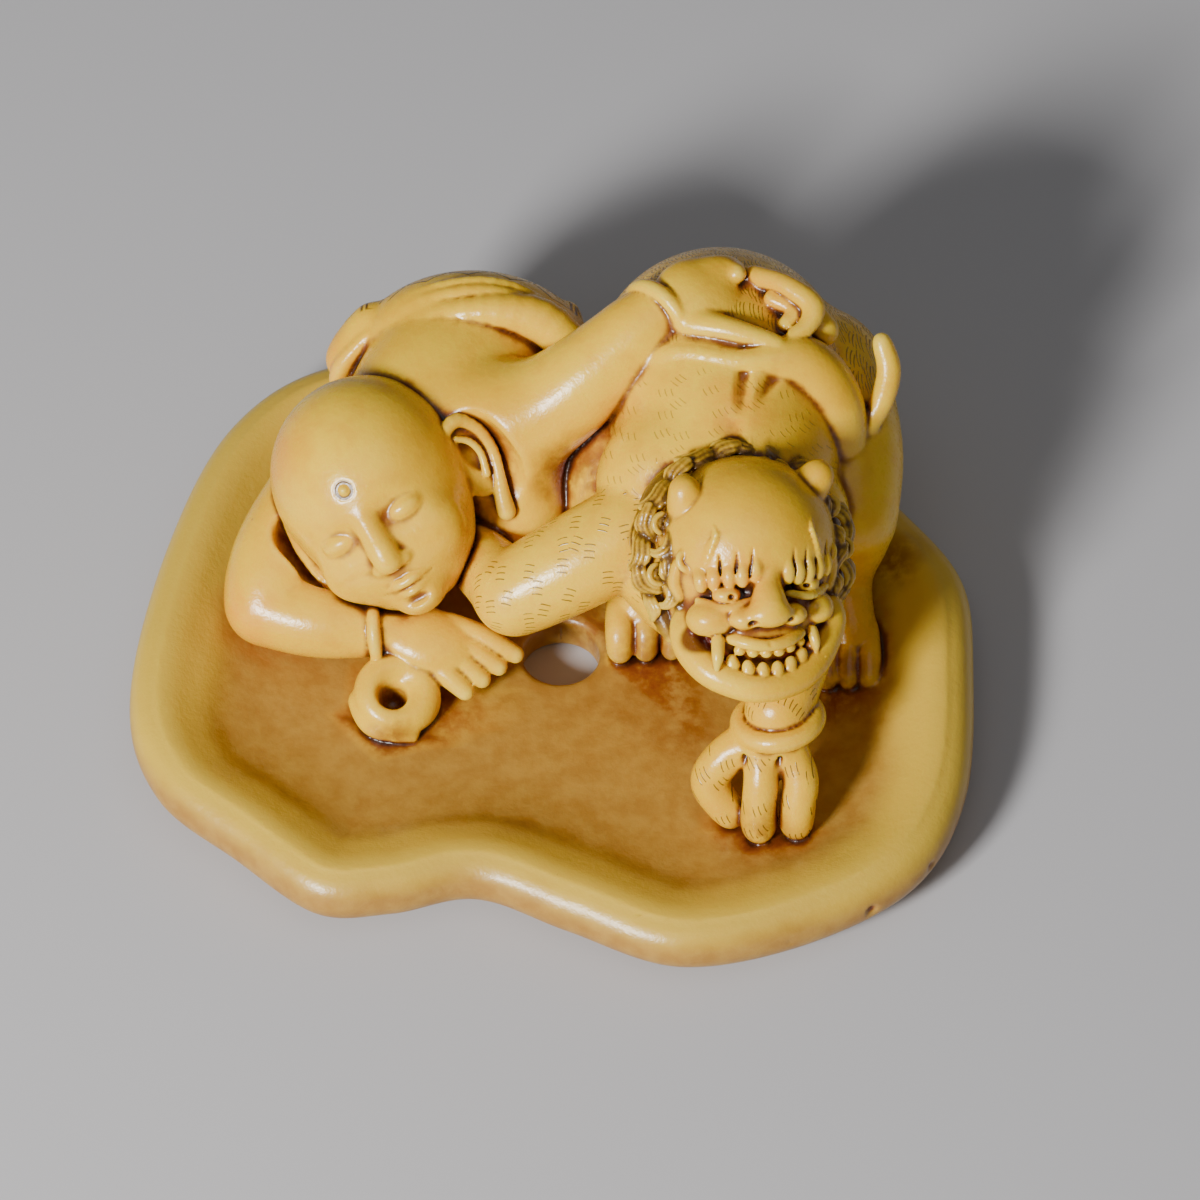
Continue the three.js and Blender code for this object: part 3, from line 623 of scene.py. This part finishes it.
def monk_grip():
    hand = Group()
    hand.add(blob([7.9, 12.6, 18.6], [2.5, 2.5, 1.5], (8, 8, 25)))
    hand.add(blob([9.1, 14.0, 18.9], [1.5, 1.2, 1.1]), 0.5)
    hand.cut(blob([11.0, 12.9, 19.6], [0.95, 1.5, 1.1], (0, 0, 20)), 0.12)
    hand.add(limb([(9.4, 14.2, 19.2, 0.6), (10.0, 13.6, 19.6, 0.5)]), 0.15)  # thumb
    hand.add(limb([(10.9, 14.0, 18.9, 0.6), (12.5, 12.9, 19.5, 0.56), (14.0, 11.7, 19.2, 0.64), (13.8, 10.7, 18.8, 0.5),
                   (13.0, 10.0, 18.6, 0.44)]), 0.1)
    hand.add(limb([(11.9, 12.4, 18.9, 0.5), (13.1, 11.7, 18.7, 0.5), (12.6, 10.9, 18.5, 0.45)]), 0.06)
    hand.add(limb([(7.5, 10.9, 18.6, 0.85), (9.6, 10.1, 19.0, 0.64), (12.1, 9.3, 18.8, 0.48)]), 0.25)
    hand.cut(limb([(8.6, 11.6, 19.9, 0.1), (10.6, 11.1, 19.6, 0.3)]), 0.2)
    return hand


def robe():
    cloth = Group()
    cloth.add(blob([-4.4, 16.1, 8.3], [7.0, 4.2, 7.1], (0, 4, 0)))
    # The rolled edge round the bare back, and the pleats behind it.
    cloth.add(limb([(-10.3, 14.2, 9.6, 0.8), (-8.3, 14.9, 12.8, 0.85), (-4.6, 15.0, 14.7, 0.85), (-0.6, 14.8, 14.2, 1.2),
                    (2.0, 13.2, 12.0, 1.0)]), 0.15)
    for back, rise, wire in ((0.95, 0.5, 0.5), (1.6, 0.6, 0.36)):
        cloth.add(limb([(-10.5, 14.3 + back, 9.8, wire), (-8.3, 14.9 + back, 13.0 + rise, wire), (-4.6, 15.0 + back, 14.7 + rise, wire),
                        (-1.4, 14.7 + back, 14.3 + 0.7 * rise, wire), (1.4, 13.6 + back, 12.2, wire)]), 0.06)
    for x, y, z, turn in ((-1.2, 15.6, 14.0, 30), (0.6, 15.2, 12.6, 40)):  # tucks at the left hip
        cloth.add(limb([(x - 1.0, y + 0.9, z + 0.9, 0.45), (x + 0.4, y, z + 0.2, 0.5), (x + 1.2, y - 1.2, z - 1.4, 0.4)]), 0.1)
    # A loose end at the right hip, with its own small folds.
    cloth.add(limb([(-9.8, 16.8, 11.6, 1.2), (-11.2, 15.9, 9.6, 1.3)]), 0.4)
    cloth.add(limb([(-10.1, 15.6, 12.0, 0.4), (-11.6, 14.9, 10.2, 0.5), (-11.9, 14.6, 8.4, 0.4)]), 0.12)
    # Drape down the hidden back: broad shallow folds that run to the leaf.
    for i in range(6):
        x = -9.4 + 2.0 * i
        cloth.add(limb([(x + 0.3, 18.4 - 0.1 * (x + 4) ** 2 / 3, 11.6, 0.5), (x, 19.0 - 0.1 * (x + 4) ** 2 / 3, 8.4, 0.7),
                        (x - 0.5, 18.8 - 0.1 * (x + 4) ** 2 / 3, 5.4, 0.6)]), 0.5)
    return cloth


def pouch():
    bag = Group()
    bag.add(blob([-8.4, -2.8, 3.0], [2.3, 1.9, 1.4]))
    bag.add(ring([-8.4, -2.9, 3.9], 1.5, 0.85, (20, 8, 0)), 0.5)
    bag.cut(limb([(-8.65, -3.6, 5.2, 0.8), (-8.6, -3.0, 3.2, 0.6)]), 0.3)
    bag.add(limb([(-10.4, -3.0, 3.4, 0.65), (-9.6, -4.4, 3.0, 0.55), (-7.6, -4.8, 2.7, 0.4)]), 0.3)
    return bag


# ---- the surface --------------------------------------------------------------------------------------
FIGURES = {
    "demon_trunk": (demon_trunk(), 0.5),
    "demon_legs": (demon_legs(), 0.6),
    "demon_shins": (demon_shins(), 0.3),
    "demon_arms": (demon_arms(), 0.5),
    "demon_cloth": (demon_cloth(), 0.15),
    "demon_hand": (demon_hand(), 0.25),
    "demon_hair": (demon_hair(), 0.1),
    "demon_head": (demon_head(), 0.08),
    "monk_body": (monk_body(), 0.3),
    "robe": (robe(), 0.12),
    "monk_forearm": (monk_forearm(), 0.2),
    "monk_grip": (monk_grip(), 0.1),
    "monk_head": (monk_head(), 0.12),
    "pouch": (pouch(), 0.15),
    "bangle_demon": (Group().add(ring([12.1, -7.7, 7.9], 2.0, 0.6, (-16, -8, 0))), 0.06),
    "bangle_high": (Group().add(ring([5.8, 11.9, 17.7], 2.05, 0.46, (-96, 44, 0))), 0.06),
    "bangle_low": (Group().add(ring([-9.5, 0.4, 5.2], 1.7, 0.36, (0, 84, 0))), 0.06),
}


HEADS = ("demon_hair", "demon_head", "monk_head")
KINDS = {
    "hair": ["demon_hair"],
    "robe": ["robe"],
    "demon_skin": ["demon_trunk", "demon_arms"],
    "face": ["demon_head"],
    "monk": ["monk_head", "monk_body", "monk_forearm", "monk_grip"],
    "breeches": ["demon_trunk", "demon_legs"],
}


def body_field():
    """The leaf and both bodies, without the heads."""
    field = Field([-24.0, -21.0, -1.0], [24.0, 21.6, 21.6], GRAIN)
    add_leaf(field)
    for name, (group, join) in FIGURES.items():
        if name not in HEADS:
            field.join(group, join)
    field.cut(Cone([0.45, 1.2, 3.2], [0.45, 1.2, -2.5], 2.1, 2.1), 0.6)
    for place, radius in (((17.2, -16.6, 2.6), 0.45), ((20.5, -13.7, 2.7), 0.4), ((12.8, -18.8, 2.6), 0.4)):
        field.cut(blob(place, radius)[0], 0.1)  # nicks along the edge
    worn = [(-22.0, -2.0, 5.1, 0.12), (-20.9, -6.6, 4.9, 0.16), (-18.4, -9.9, 4.75, 0.16), (-15.4, -12.4, 4.6, 0.1)]
    for cone in limb(worn):
        field.cut(cone, 0.12)  # a worn groove along the rim
    return field


def head_field(names, grain):
    """A head on its own grid."""
    boxes = [FIGURES[name][0].box() for name in names]
    low, high = np.min([b[0] for b in boxes], axis=0), np.max([b[1] for b in boxes], axis=0)
    field = Field(low - 0.6, high + 0.6, grain)
    for name in names:
        field.join(*FIGURES[name])
    return field


def skinned(field, name):
    """The field's surface as one mesh in millimetres, thinned to the triangle limit."""
    volume = openvdb.FloatGrid(background=FAR)
    volume.copyFromArray(np.clip(field.values, -3 * field.grain, 3 * field.grain))
    points, triangles, quads = volume.convertToPolygons(isovalue=0.0, adaptivity=0.0)
    points = np.array(points) * field.grain + field.low
    mesh = bpy.data.meshes.new(name)
    corners = np.array(quads)[:, ::-1]
    mesh.vertices.add(len(points))
    mesh.vertices.foreach_set("co", points.astype(np.float32).ravel())
    mesh.loops.add(corners.size)
    mesh.loops.foreach_set("vertex_index", corners.astype(np.int32).ravel())
    mesh.polygons.add(len(corners))
    mesh.polygons.foreach_set("loop_start", np.arange(0, corners.size, 4, dtype=np.int32))
    mesh.update(calc_edges=True)
    piece = bpy.data.objects.new(name, mesh)
    bpy.context.scene.collection.objects.link(piece)
    count = 2 * len(corners)
    if count > TRIANGLES:
        thin = piece.modifiers.new("thin", "DECIMATE")
        thin.ratio = TRIANGLES / count
        thin.use_collapse_triangulate = True
        bpy.context.view_layer.update()
        made = bpy.data.meshes.new_from_object(piece.evaluated_get(bpy.context.evaluated_depsgraph_get()))
        piece.modifiers.clear()
        piece.data = made
    return piece


def coordinates(mesh):
    out = np.empty(len(mesh.vertices) * 3, np.float32)
    mesh.vertices.foreach_get("co", out)
    return out.reshape(-1, 3).astype(float)


def store(mesh, name, values):
    layer = mesh.attributes.new(name, "FLOAT", "POINT")
    layer.data.foreach_set("value", np.asarray(values, np.float32))


def store_vector(mesh, name, values):
    layer = mesh.attributes.new(name, "FLOAT_VECTOR", "POINT")
    layer.data.foreach_set("vector", np.asarray(values, np.float32).ravel())


def along_limb(stations, points):
    """Where points lie on a limb: along it, round it and how far from its skin, in millimetres."""
    rows = curve(stations, 6)
    best = np.full(len(points), 99.0)
    out = np.zeros((len(points), 3))
    start = 0.0
    for p, q in zip(rows, rows[1:]):
        way = q[:3] - p[:3]
        long = np.linalg.norm(way)
        way /= long
        down = np.array([0, 0, -1.0]) + way * way[2]
        down /= np.linalg.norm(down)
        across = np.cross(way, down)
        rel = points - p[:3]
        t = rel @ way
        radius = p[3] + (q[3] - p[3]) * np.clip(t / long, 0, 1)
        off = rel - np.outer(t, way)
        d = np.linalg.norm(rel - np.outer(np.clip(t, 0, long), way), axis=1) - radius
        turn = np.arctan2(off @ across, -(off @ down))
        near = d < best
        best[near] = d[near]
        out[near] = np.stack([start + t, turn * radius, d], 1)[near]
        start += long
    return out


# Places where brown stain lies on the leaf and the bodies, and where the ivory is amber: x, y, z, radius.
STAINS = [(11.3, -11.4, 2.8, 3.2), (5.6, 0.2, 2.8, 3.4), (2.4, 3.0, 2.6, 3.0), (8.0, -3.4, 2.4, 3.4), (15.6, -1.4, 3.0, 3.0),
          (-8.6, -4.8, 3.0, 1.8), (1.0, 7.4, 11.0, 3.6), (-15.0, 3.0, 7.2, 1.4), (4.6, 9.6, 9.0, 3.0), (19.0, 6.0, 4.0, 2.6)]
MOUTH = [(-2.3, -3.1, -3.1), (-1.0, -3.8, -3.6), (0.3, -3.9, -3.7), (1.5, -3.6, -3.5), (2.6, -2.9, -3.0), (-3.4, -3.2, -2.8)]
AMBER = [(-16.4, 1.4, 5.6, 3.2), (-13.6, 6.6, 12.6, 3.4), (9.6, -5.4, 16.6, 3.2), (-11.8, 15.6, 9.6, 2.6), (12.0, 13.0, 18.0, 3.0),
         (9.8, 5.6, 18.0, 2.6), (-20.8, -7.0, 4.4, 3.0)]


def spots(points, places):
    """1 in the middle of soft round spots, 0 beyond them."""
    out = np.zeros(len(points))
    for x, y, z, radius in places:
        out = np.maximum(out, ramp(radius - np.linalg.norm(points - (x, y, z), axis=1), 0, 0.8 * radius))
    return out


def fur_places(points, near_to):
    """Along, across and amount for the short strokes cut on the demon's limbs and back."""
    close = np.flatnonzero(near_to["demon_arms"] < 0.6)
    arms = []
    for stations in (DEMON_RIGHT_ARM, DEMON_LEFT_ARM):
        rows = np.full((len(points), 3), 99.0)
        rows[close] = along_limb(stations, points[close])
        arms.append(rows)
    out = np.stack([points[:, 1] + points[:, 2], points[:, 0], np.zeros(len(points))], 1)
    hand = near_to["demon_hand"] < 0.2
    out[hand] = np.stack([points[:, 2], points[:, 0] * 1.1, np.full(len(points), 0.9)], 1)[hand]
    nearest = np.min([v for k, v in near_to.items() if k not in ("demon_trunk", "demon_arms", "demon_hand")], axis=0)
    for rows in arms:
        on = (np.abs(rows[:, 2]) < 0.35) & (near_to["demon_arms"] < near_to["demon_trunk"] + 0.15)
        out[on] = np.stack([rows[:, 0], rows[:, 1], np.ones(len(points))], 1)[on]
    back = (near_to["demon_trunk"] < 0.25) & (out[:, 2] < 0.5) & (points[:, 1] < 9.0)
    out[back, 2] = 0.55
    out[:, 2] *= ramp(nearest, 0.15, 0.45)
    return out


class Whole:
    """The whole carving's field with both heads, from which every piece takes its hollows."""

    def __init__(self, body):
        self.field = body.copy()
        for name in HEADS:
            self.field.join(*FIGURES[name])
        self.near, self.wide = self.field.filled(0.3), self.field.filled(0.8)

    def mark(self, piece, own=None):
        """Stores on a mesh where the carving is hollow, and where hair, weave and leaf lie."""
        mesh = piece.data
        at = coordinates(mesh)
        crease = (self.field.sampled(self.near, at) - 0.5) * 2
        if own:
            crease = np.maximum(crease, (own.sampled(own.filled(0.17), at) - 0.5) * 2)
        store(mesh, "crease", np.clip(crease, -1, 1))
        store(mesh, "hollow", np.clip((self.field.sampled(self.wide, at) - 0.5) * 2, -1, 1))
        near_to = {name: np.abs(group.at(at)) for name, (group, _) in FIGURES.items()}
        figure = np.min(list(near_to.values()), axis=0)
        store(mesh, "leaf", ramp(figure, 0.1, 0.5))
        for name, parts in KINDS.items():
            d = np.min([near_to[part] for part in parts], axis=0)
            others = [v for k, v in near_to.items() if k not in parts]
            store(mesh, name, ramp(0.25 - d, 0, 0.2) * ramp(np.min(others, axis=0) - d, -0.1, 0.1))
        in_mouth = [(*(turned(DEMON_HEAD["turn"]) @ place + DEMON_HEAD["place"]), 1.25) for place in MOUTH]
        store(mesh, "mouth", spots(at, in_mouth))
        store(mesh, "stain", spots(at, STAINS))
        store(mesh, "amber", spots(at, AMBER))
        store_vector(mesh, "place", at)
        store_vector(mesh, "fur", fur_places(at, near_to))
        around = np.arctan2(at[:, 1] - 14.0, at[:, 2] - 8.2) * 6.0
        store_vector(mesh, "weave", np.stack([at[:, 0], around, at[:, 2]], 1))
        return at


# ---- materials ----------------------------------------------------------------------------------------
class Tree:
    """Short names for building a node tree."""

    def __init__(self, tree):
        self.tree = tree

    def node(self, kind, **settings):
        made = self.tree.nodes.new("ShaderNode" + kind)
        for key, value in settings.items():
            setattr(made, key, value)
        return made

    def put(self, socket, value):
        if isinstance(value, bpy.types.NodeSocket):
            self.tree.links.new(value, socket)
        else:
            socket.default_value = value

    def attribute(self, name, output="Fac"):
        return self.node("Attribute", attribute_name=name).outputs[output]

    def maths(self, operation, a, b=0.0, c=0.0):
        made = self.node("Math", operation=operation)
        for socket, value in zip(made.inputs, (a, b, c)):
            self.put(socket, value)
        return made.outputs[0]

    def vector(self, operation, a, b=(0, 0, 0)):
        made = self.node("VectorMath", operation=operation)
        self.put(made.inputs[0], a)
        self.put(made.inputs[1], b)
        return made.outputs["Value" if operation in ("LENGTH", "DISTANCE", "DOT_PRODUCT") else "Vector"]

    def step(self, value, low, high):
        """0 below low and 1 above high; the other way round when low is above high."""
        made = self.node("MapRange", interpolation_type="SMOOTHSTEP")
        flip = low > high
        for name, v in zip(("Value", "From Min", "From Max", "To Min", "To Max"),
                           (value, min(low, high), max(low, high), float(flip), float(not flip))):
            self.put(made.inputs[name], v)
        return made.outputs["Result"]

    def mix(self, factor, a, b, blend="MIX"):
        made = self.node("Mix", data_type="RGBA", blend_type=blend)
        for socket, value in zip((made.inputs[0], made.inputs[6], made.inputs[7]), (factor, a, b)):
            self.put(socket, value)
        return made.outputs[2]

    def noise(self, place, scale, detail=3.0, rough=0.5):
        made = self.node("TexNoise")
        self.put(made.inputs["Vector"], place)
        self.put(made.inputs["Scale"], scale)
        self.put(made.inputs["Detail"], detail)
        self.put(made.inputs["Roughness"], rough)
        return made.outputs[0]

    def times(self, *values):
        out = values[0]
        for value in values[1:]:
            out = self.maths("MULTIPLY", out, value)
        return out


def linear(*srgb):
    """A colour given as sRGB 0-255, as linear RGBA."""
    parts = [v / 255 for v in srgb]
    return tuple(v / 12.92 if v <= 0.04045 else ((v + 0.055) / 1.055) ** 2.4 for v in parts) + (1.0,)


def strokes(t, along, across, cell, stretch, size, lean, rows):
    """1 on short dark strokes strewn over a skin, in little rows side by side."""
    cloud = t.node("CombineXYZ")
    t.put(cloud.inputs[0], t.maths("DIVIDE", along, stretch))
    t.put(cloud.inputs[1], across)
    cells = t.node("TexVoronoi", voronoi_dimensions="2D")
    t.put(cells.inputs["Vector"], cloud.outputs[0])
    cells.inputs["Scale"].default_value = 1 / cell
    cells.inputs["Randomness"].default_value = 0.7
    centre = t.node("SeparateXYZ")
    t.put(centre.inputs[0], cells.outputs["Position"])
    colour = t.node("SeparateXYZ")
    t.put(colour.inputs[0], cells.outputs["Color"])
    u = t.maths("SUBTRACT", along, t.times(centre.outputs[0], stretch))
    v = t.maths("SUBTRACT", across, centre.outputs[1])
    tilt = t.maths("ADD", lean, t.times(t.maths("SUBTRACT", colour.outputs[0], 0.5), 0.7))
    c, s = t.maths("COSINE", tilt), t.maths("SINE", tilt)
    long = t.maths("SUBTRACT", t.times(u, c), t.times(v, s))
    wide = t.maths("ADD", t.times(u, s), t.times(v, c))
    bow = t.times(long, long, 0.35)
    gap = size[2]
    beside = t.maths("SUBTRACT", wide, bow)
    row = t.maths("MINIMUM", t.maths("ROUND", t.maths("DIVIDE", t.maths("ABSOLUTE", beside), gap)), float(rows))
    off = t.maths("ABSOLUTE", t.maths("SUBTRACT", t.maths("ABSOLUTE", beside), t.times(row, gap)))
    beyond = t.maths("MAXIMUM", t.maths("SUBTRACT", t.maths("ABSOLUTE", long), size[0] / 2), 0.0)
    reach = t.maths("SQRT", t.maths("ADD", t.times(off, off), t.times(beyond, beyond)))
    return t.step(reach, size[1] * 1.3, size[1] * 0.35)


def hexagons(t, place, size):
    """1 on the thin lines of a pattern of hexagons, each with a star."""
    p = t.vector("SCALE", place)
    p.node.inputs["Scale"].default_value = 1 / size
    flat = t.vector("MULTIPLY", p, (1, 1, 0))
    half = (0.5, math.sqrt(3) / 2, 0.5)
    nearest = []
    for offset in ((0, 0, 0), half):
        made = t.node("VectorMath", operation="WRAP")
        t.put(made.inputs[0], t.vector("SUBTRACT", flat, offset))
        made.inputs[1].default_value = half
        made.inputs[2].default_value = tuple(-v for v in half)
        nearest.append(made.outputs["Vector"])
    closer = t.maths("LESS_THAN", t.vector("LENGTH", nearest[1]), t.vector("LENGTH", nearest[0]))
    own = t.node("Mix", data_type="VECTOR")
    for socket, value in zip((own.inputs[0], own.inputs[4], own.inputs[5]), (closer, *nearest)):
        t.put(socket, value)
    own = own.outputs[1]
    parts = t.node("SeparateXYZ")
    t.put(parts.inputs[0], t.vector("ABSOLUTE", own))
    slanted = t.vector("DOT_PRODUCT", t.vector("ABSOLUTE", own), (0.5, math.sqrt(3) / 2, 0))
    edge = t.maths("ABSOLUTE", t.maths("SUBTRACT", 0.44, t.maths("MAXIMUM", parts.outputs[0], slanted)))
    line = t.step(edge, 0.045, 0.015)
    signed = t.node("SeparateXYZ")
    t.put(signed.inputs[0], own)
    angle = t.maths("ARCTAN2", signed.outputs[1], signed.outputs[0])
    reach = t.vector("LENGTH", own)
    ray = t.times(t.maths("ABSOLUTE", t.maths("SINE", t.times(angle, 3.0))), reach)
    star = t.times(t.step(ray, 0.09, 0.03), t.step(reach, 0.3, 0.25))
    return t.maths("MAXIMUM", line, star)


def ivory_material():
    material = bpy.data.materials.new("ivory")
    material.use_nodes = True
    t = Tree(material.node_tree)
    shader = material.node_tree.nodes["Principled BSDF"]
    place = t.attribute("place", "Vector")
    crease, hollow, leaf = t.attribute("crease"), t.attribute("hollow"), t.attribute("leaf")
    cloudy = t.noise(place, 0.14, 3.0)
    mottled = t.noise(place, 0.8, 4.0, 0.6)
    fine = t.noise(place, 3.2, 3.0, 0.6)
    # Ivory: honey, paler on jutting, open parts as a painted highlight, deeper on the leaf, and amber in some places.
    height = t.node("SeparateXYZ")
    t.put(height.inputs[0], place)
    colour = t.mix(t.step(cloudy, 0.35, 0.65), linear(252, 204, 44), linear(238, 184, 28))
    colour = t.mix(t.times(t.step(mottled, 0.45, 0.7), 0.3), colour, linear(222, 160, 26))
    colour = t.mix(t.times(t.attribute("amber"), t.step(mottled, 0.2, 0.6), 0.8), colour, linear(246, 166, 30))
    # Painted highlight: jutting parts, where little of the carving lies round them, are made paler.
    colour = t.mix(t.times(t.step(crease, -0.12, -0.4), 0.45), colour, linear(253, 222, 96))
    dish = t.mix(t.step(mottled, 0.3, 0.7), linear(186, 142, 60), linear(170, 122, 46))
    rim = t.maths("ADD", height.outputs[2], t.times(t.maths("SUBTRACT", cloudy, 0.5), 1.6))
    dish = t.mix(t.step(rim, 2.9, 4.3), dish, linear(222, 184, 62))
    colour = t.mix(leaf, colour, dish)
    # Stain lies in soft patches. The hollows and creases turn warm and dark brown, from stain that settles there and
    # from painted shade.
    patch = t.times(t.attribute("stain"), t.step(mottled, 0.25, 0.6))
    colour = t.mix(t.times(patch, 0.75), colour, linear(132, 66, 22))
    # Painted shade, with some stain: a warm orange laid over the wide hollows, where the carving lies in shadow.
    hollow_stain_and_shade = t.times(t.step(hollow, 0.0, 0.35), t.step(mottled, 0.2, 0.7), 0.6)
    colour = t.mix(hollow_stain_and_shade, colour, linear(196, 116, 38))
    # Painted shade, with stain: creases and tight grooves turn brown and nearly black, darkest where the carving closes
    # round them.
    crease_stain_and_shade = t.maths("ADD", crease, t.times(t.maths("SUBTRACT", mottled, 0.5), 0.3))
    crease_stain_and_shade = t.maths("ADD", crease_stain_and_shade, t.times(patch, 0.12))
    colour = t.mix(t.times(t.step(crease_stain_and_shade, 0.04, 0.3), 0.9), colour, linear(128, 56, 18))
    colour = t.mix(t.times(t.step(crease_stain_and_shade, 0.2, 0.5), 0.9), colour, linear(44, 16, 8))
    # Painted shade, with stain: the gaps between the hair's strands turn near black, while the strands' tops stay pale.
    hair_gap_stain_and_shade = t.times(t.attribute("hair"), t.step(crease, -0.35, 0.0), t.step(mottled, 0.1, 0.4))
    colour = t.mix(t.times(hair_gap_stain_and_shade, 0.94), colour, linear(52, 22, 10))
    colour = t.mix(t.times(t.attribute("hair"), 0.3), colour, linear(140, 96, 30))
    colour = t.mix(t.times(t.step(t.attribute("mouth"), 0.0, 0.35), 0.9), colour, linear(98, 30, 14))
    # Engraved lines: fur strokes on the demon, close lines on the breeches, and the robe's pattern.
    fur = t.node("SeparateXYZ")
    t.put(fur.inputs[0], t.attribute("fur", "Vector"))
    along, across, amount = fur.outputs
    lines = t.times(strokes(t, along, across, 1.35, 1.2, (0.5, 0.035, 0.34), 0.5, 1), t.step(amount, 0.25, 0.8))
    xyz = t.node("SeparateXYZ")
    t.put(xyz.inputs[0], place)
    back_line = t.maths("ADD", xyz.outputs[1], t.times(xyz.outputs[2], -1.0))
    coat = t.times(strokes(t, back_line, xyz.outputs[0], 0.5, 2.2, (0.8, 0.04, 0.2), 0.25, 1), t.attribute("breeches"),
                   t.step(xyz.outputs[1], 9.4, 10.2))
    weave = t.times(hexagons(t, t.attribute("weave", "Vector"), 2.3), t.attribute("robe"),
                    t.step(xyz.outputs[1], 16.7, 17.0), t.step(crease, 0.2, 0.05))
    cut = t.maths("MAXIMUM", t.maths("MAXIMUM", lines, t.times(coat, 0.8)), weave)
    cut = t.times(cut, t.step(fine, 0.2, 0.5))
    between_brows = turned(MONK_HEAD["turn"]) @ (0, -5.0, 2.5) + MONK_HEAD["place"]
    far = t.vector("DISTANCE", place, tuple(between_brows))
    brow_ring = t.step(t.maths("ABSOLUTE", t.maths("SUBTRACT", far, 0.44)), 0.16, 0.05)
    cut = t.maths("MAXIMUM", cut, brow_ring)
    colour = t.mix(t.times(cut, 0.85), colour, linear(70, 34, 16))
    t.put(shader.inputs["Base Color"], colour)
    t.put(shader.inputs["Roughness"], t.maths("ADD", 0.22, t.maths("ADD", t.times(fine, 0.12), t.times(leaf, 0.05))))
    shader.inputs["Subsurface Weight"].default_value = 0.3
    shader.inputs["Subsurface Radius"].default_value = (1.0, 0.6, 0.25)
    shader.inputs["Subsurface Scale"].default_value = 0.0008
    shader.inputs["IOR"].default_value = 1.52
    bump = t.node("Bump")
    bump.inputs["Strength"].default_value = 0.35
    bump.inputs["Distance"].default_value = 0.00008
    t.put(bump.inputs["Height"], t.maths("SUBTRACT", t.maths("ADD", t.times(fine, 0.5), mottled), t.times(cut, 1.2)))
    t.put(shader.inputs["Normal"], bump.outputs[0])
    return material


def floor_material():
    material = bpy.data.materials.new("table")
    material.use_nodes = True
    t = Tree(material.node_tree)
    shader = material.node_tree.nodes["Principled BSDF"]
    place = t.node("TexCoord").outputs["Object"]
    cloudy = t.noise(place, 6.0, 2.0)
    t.put(shader.inputs["Base Color"], t.mix(cloudy, linear(200, 198, 199), linear(194, 192, 193)))
    shader.inputs["Roughness"].default_value = 0.9
    return material


# ---- the pieces and their place -----------------------------------------------------------------------
def carving():
    """Skins the bodies and the two heads, and sets them where the solid stands."""
    body = body_field()
    whole = Whole(body)
    demon, monk = head_field(HEADS[:2], HAIR_GRAIN), head_field(HEADS[2:], FACE_GRAIN)
    pieces = [(skinned(body, "carving_skin"), None), (skinned(demon, "demon_head_skin"), demon),
              (skinned(monk, "monk_head_skin"), monk)]
    places = [whole.mark(*piece) for piece in pieces]
    # The skin sits in the solid's frame: centred across, on its front edge and on the floor.
    low, high = CAD_LOW * 1000, CAD_HIGH * 1000
    leaf = places[0]
    shift = np.array([(low.x + high.x) / 2 - (leaf[:, 0].min() + leaf[:, 0].max()) / 2, low.y - leaf[:, 1].min(), low.z])
    ivory = ivory_material()
    for (piece, _), at in zip(pieces, places):
        piece.data.vertices.foreach_set("co", ((at + shift) / 1000).astype(np.float32).ravel())
        piece.data.polygons.foreach_set("use_smooth", [True] * len(piece.data.polygons))
        piece.data.materials.append(ivory)
        piece.data.update()
        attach(piece, "root")
        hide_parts("carving")
    return shift


def stage():
    bpy.ops.mesh.primitive_plane_add(size=1.6, location=(0, 0, 0))
    floor = bpy.context.object
    floor.name = "table"
    floor.data.materials.append(floor_material())


def softbox(name, azimuth, elevation, distance, size, power, aim):
    """A square soft light aimed at the carving; azimuth 0 is the viewer's side and 90 is the right."""
    a, e = math.radians(azimuth), math.radians(elevation)
    data = bpy.data.lights.new(name, "AREA")
    data.size, data.energy = size, power
    lamp = bpy.data.objects.new(name, data)
    way = Vector((math.sin(a) * math.cos(e), -math.cos(a) * math.cos(e), math.sin(e)))
    lamp.location = aim + way * distance
    lamp.rotation_euler = way.to_track_quat("Z", "Y").to_euler()
    bpy.context.scene.collection.objects.link(lamp)


def lights(aim):
    softbox("key", -36, 30, 0.36, 0.07, 2.0, aim)
    softbox("fill", 20, 70, 0.5, 0.4, 0.25, aim)
    world = bpy.data.worlds.new("room")
    bpy.context.scene.world = world
    world.use_nodes = True
    back = world.node_tree.nodes["Background"]
    back.inputs[0].default_value = (0.92, 0.95, 1.0, 1)
    back.inputs[1].default_value = 0.12


def camera(aim):
    elevation, distance, span = math.radians(52), 0.42, 0.0652
    data = bpy.data.cameras.new("view")
    data.sensor_width = 36
    data.lens = 36 * distance / span
    data.clip_start, data.clip_end = 0.01, 10
    eye = bpy.data.objects.new("view", data)
    way = Vector((0, -math.cos(elevation), math.sin(elevation)))
    eye.location = aim + way * distance
    eye.rotation_euler = way.to_track_quat("Z", "Y").to_euler()
    bpy.context.scene.collection.objects.link(eye)
    bpy.context.scene.camera = eye


moved_by = carving()
stage()
target = Vector((np.array([2.6, 1.9, 6.0]) + moved_by) / 1000)
lights(target)
camera(target)
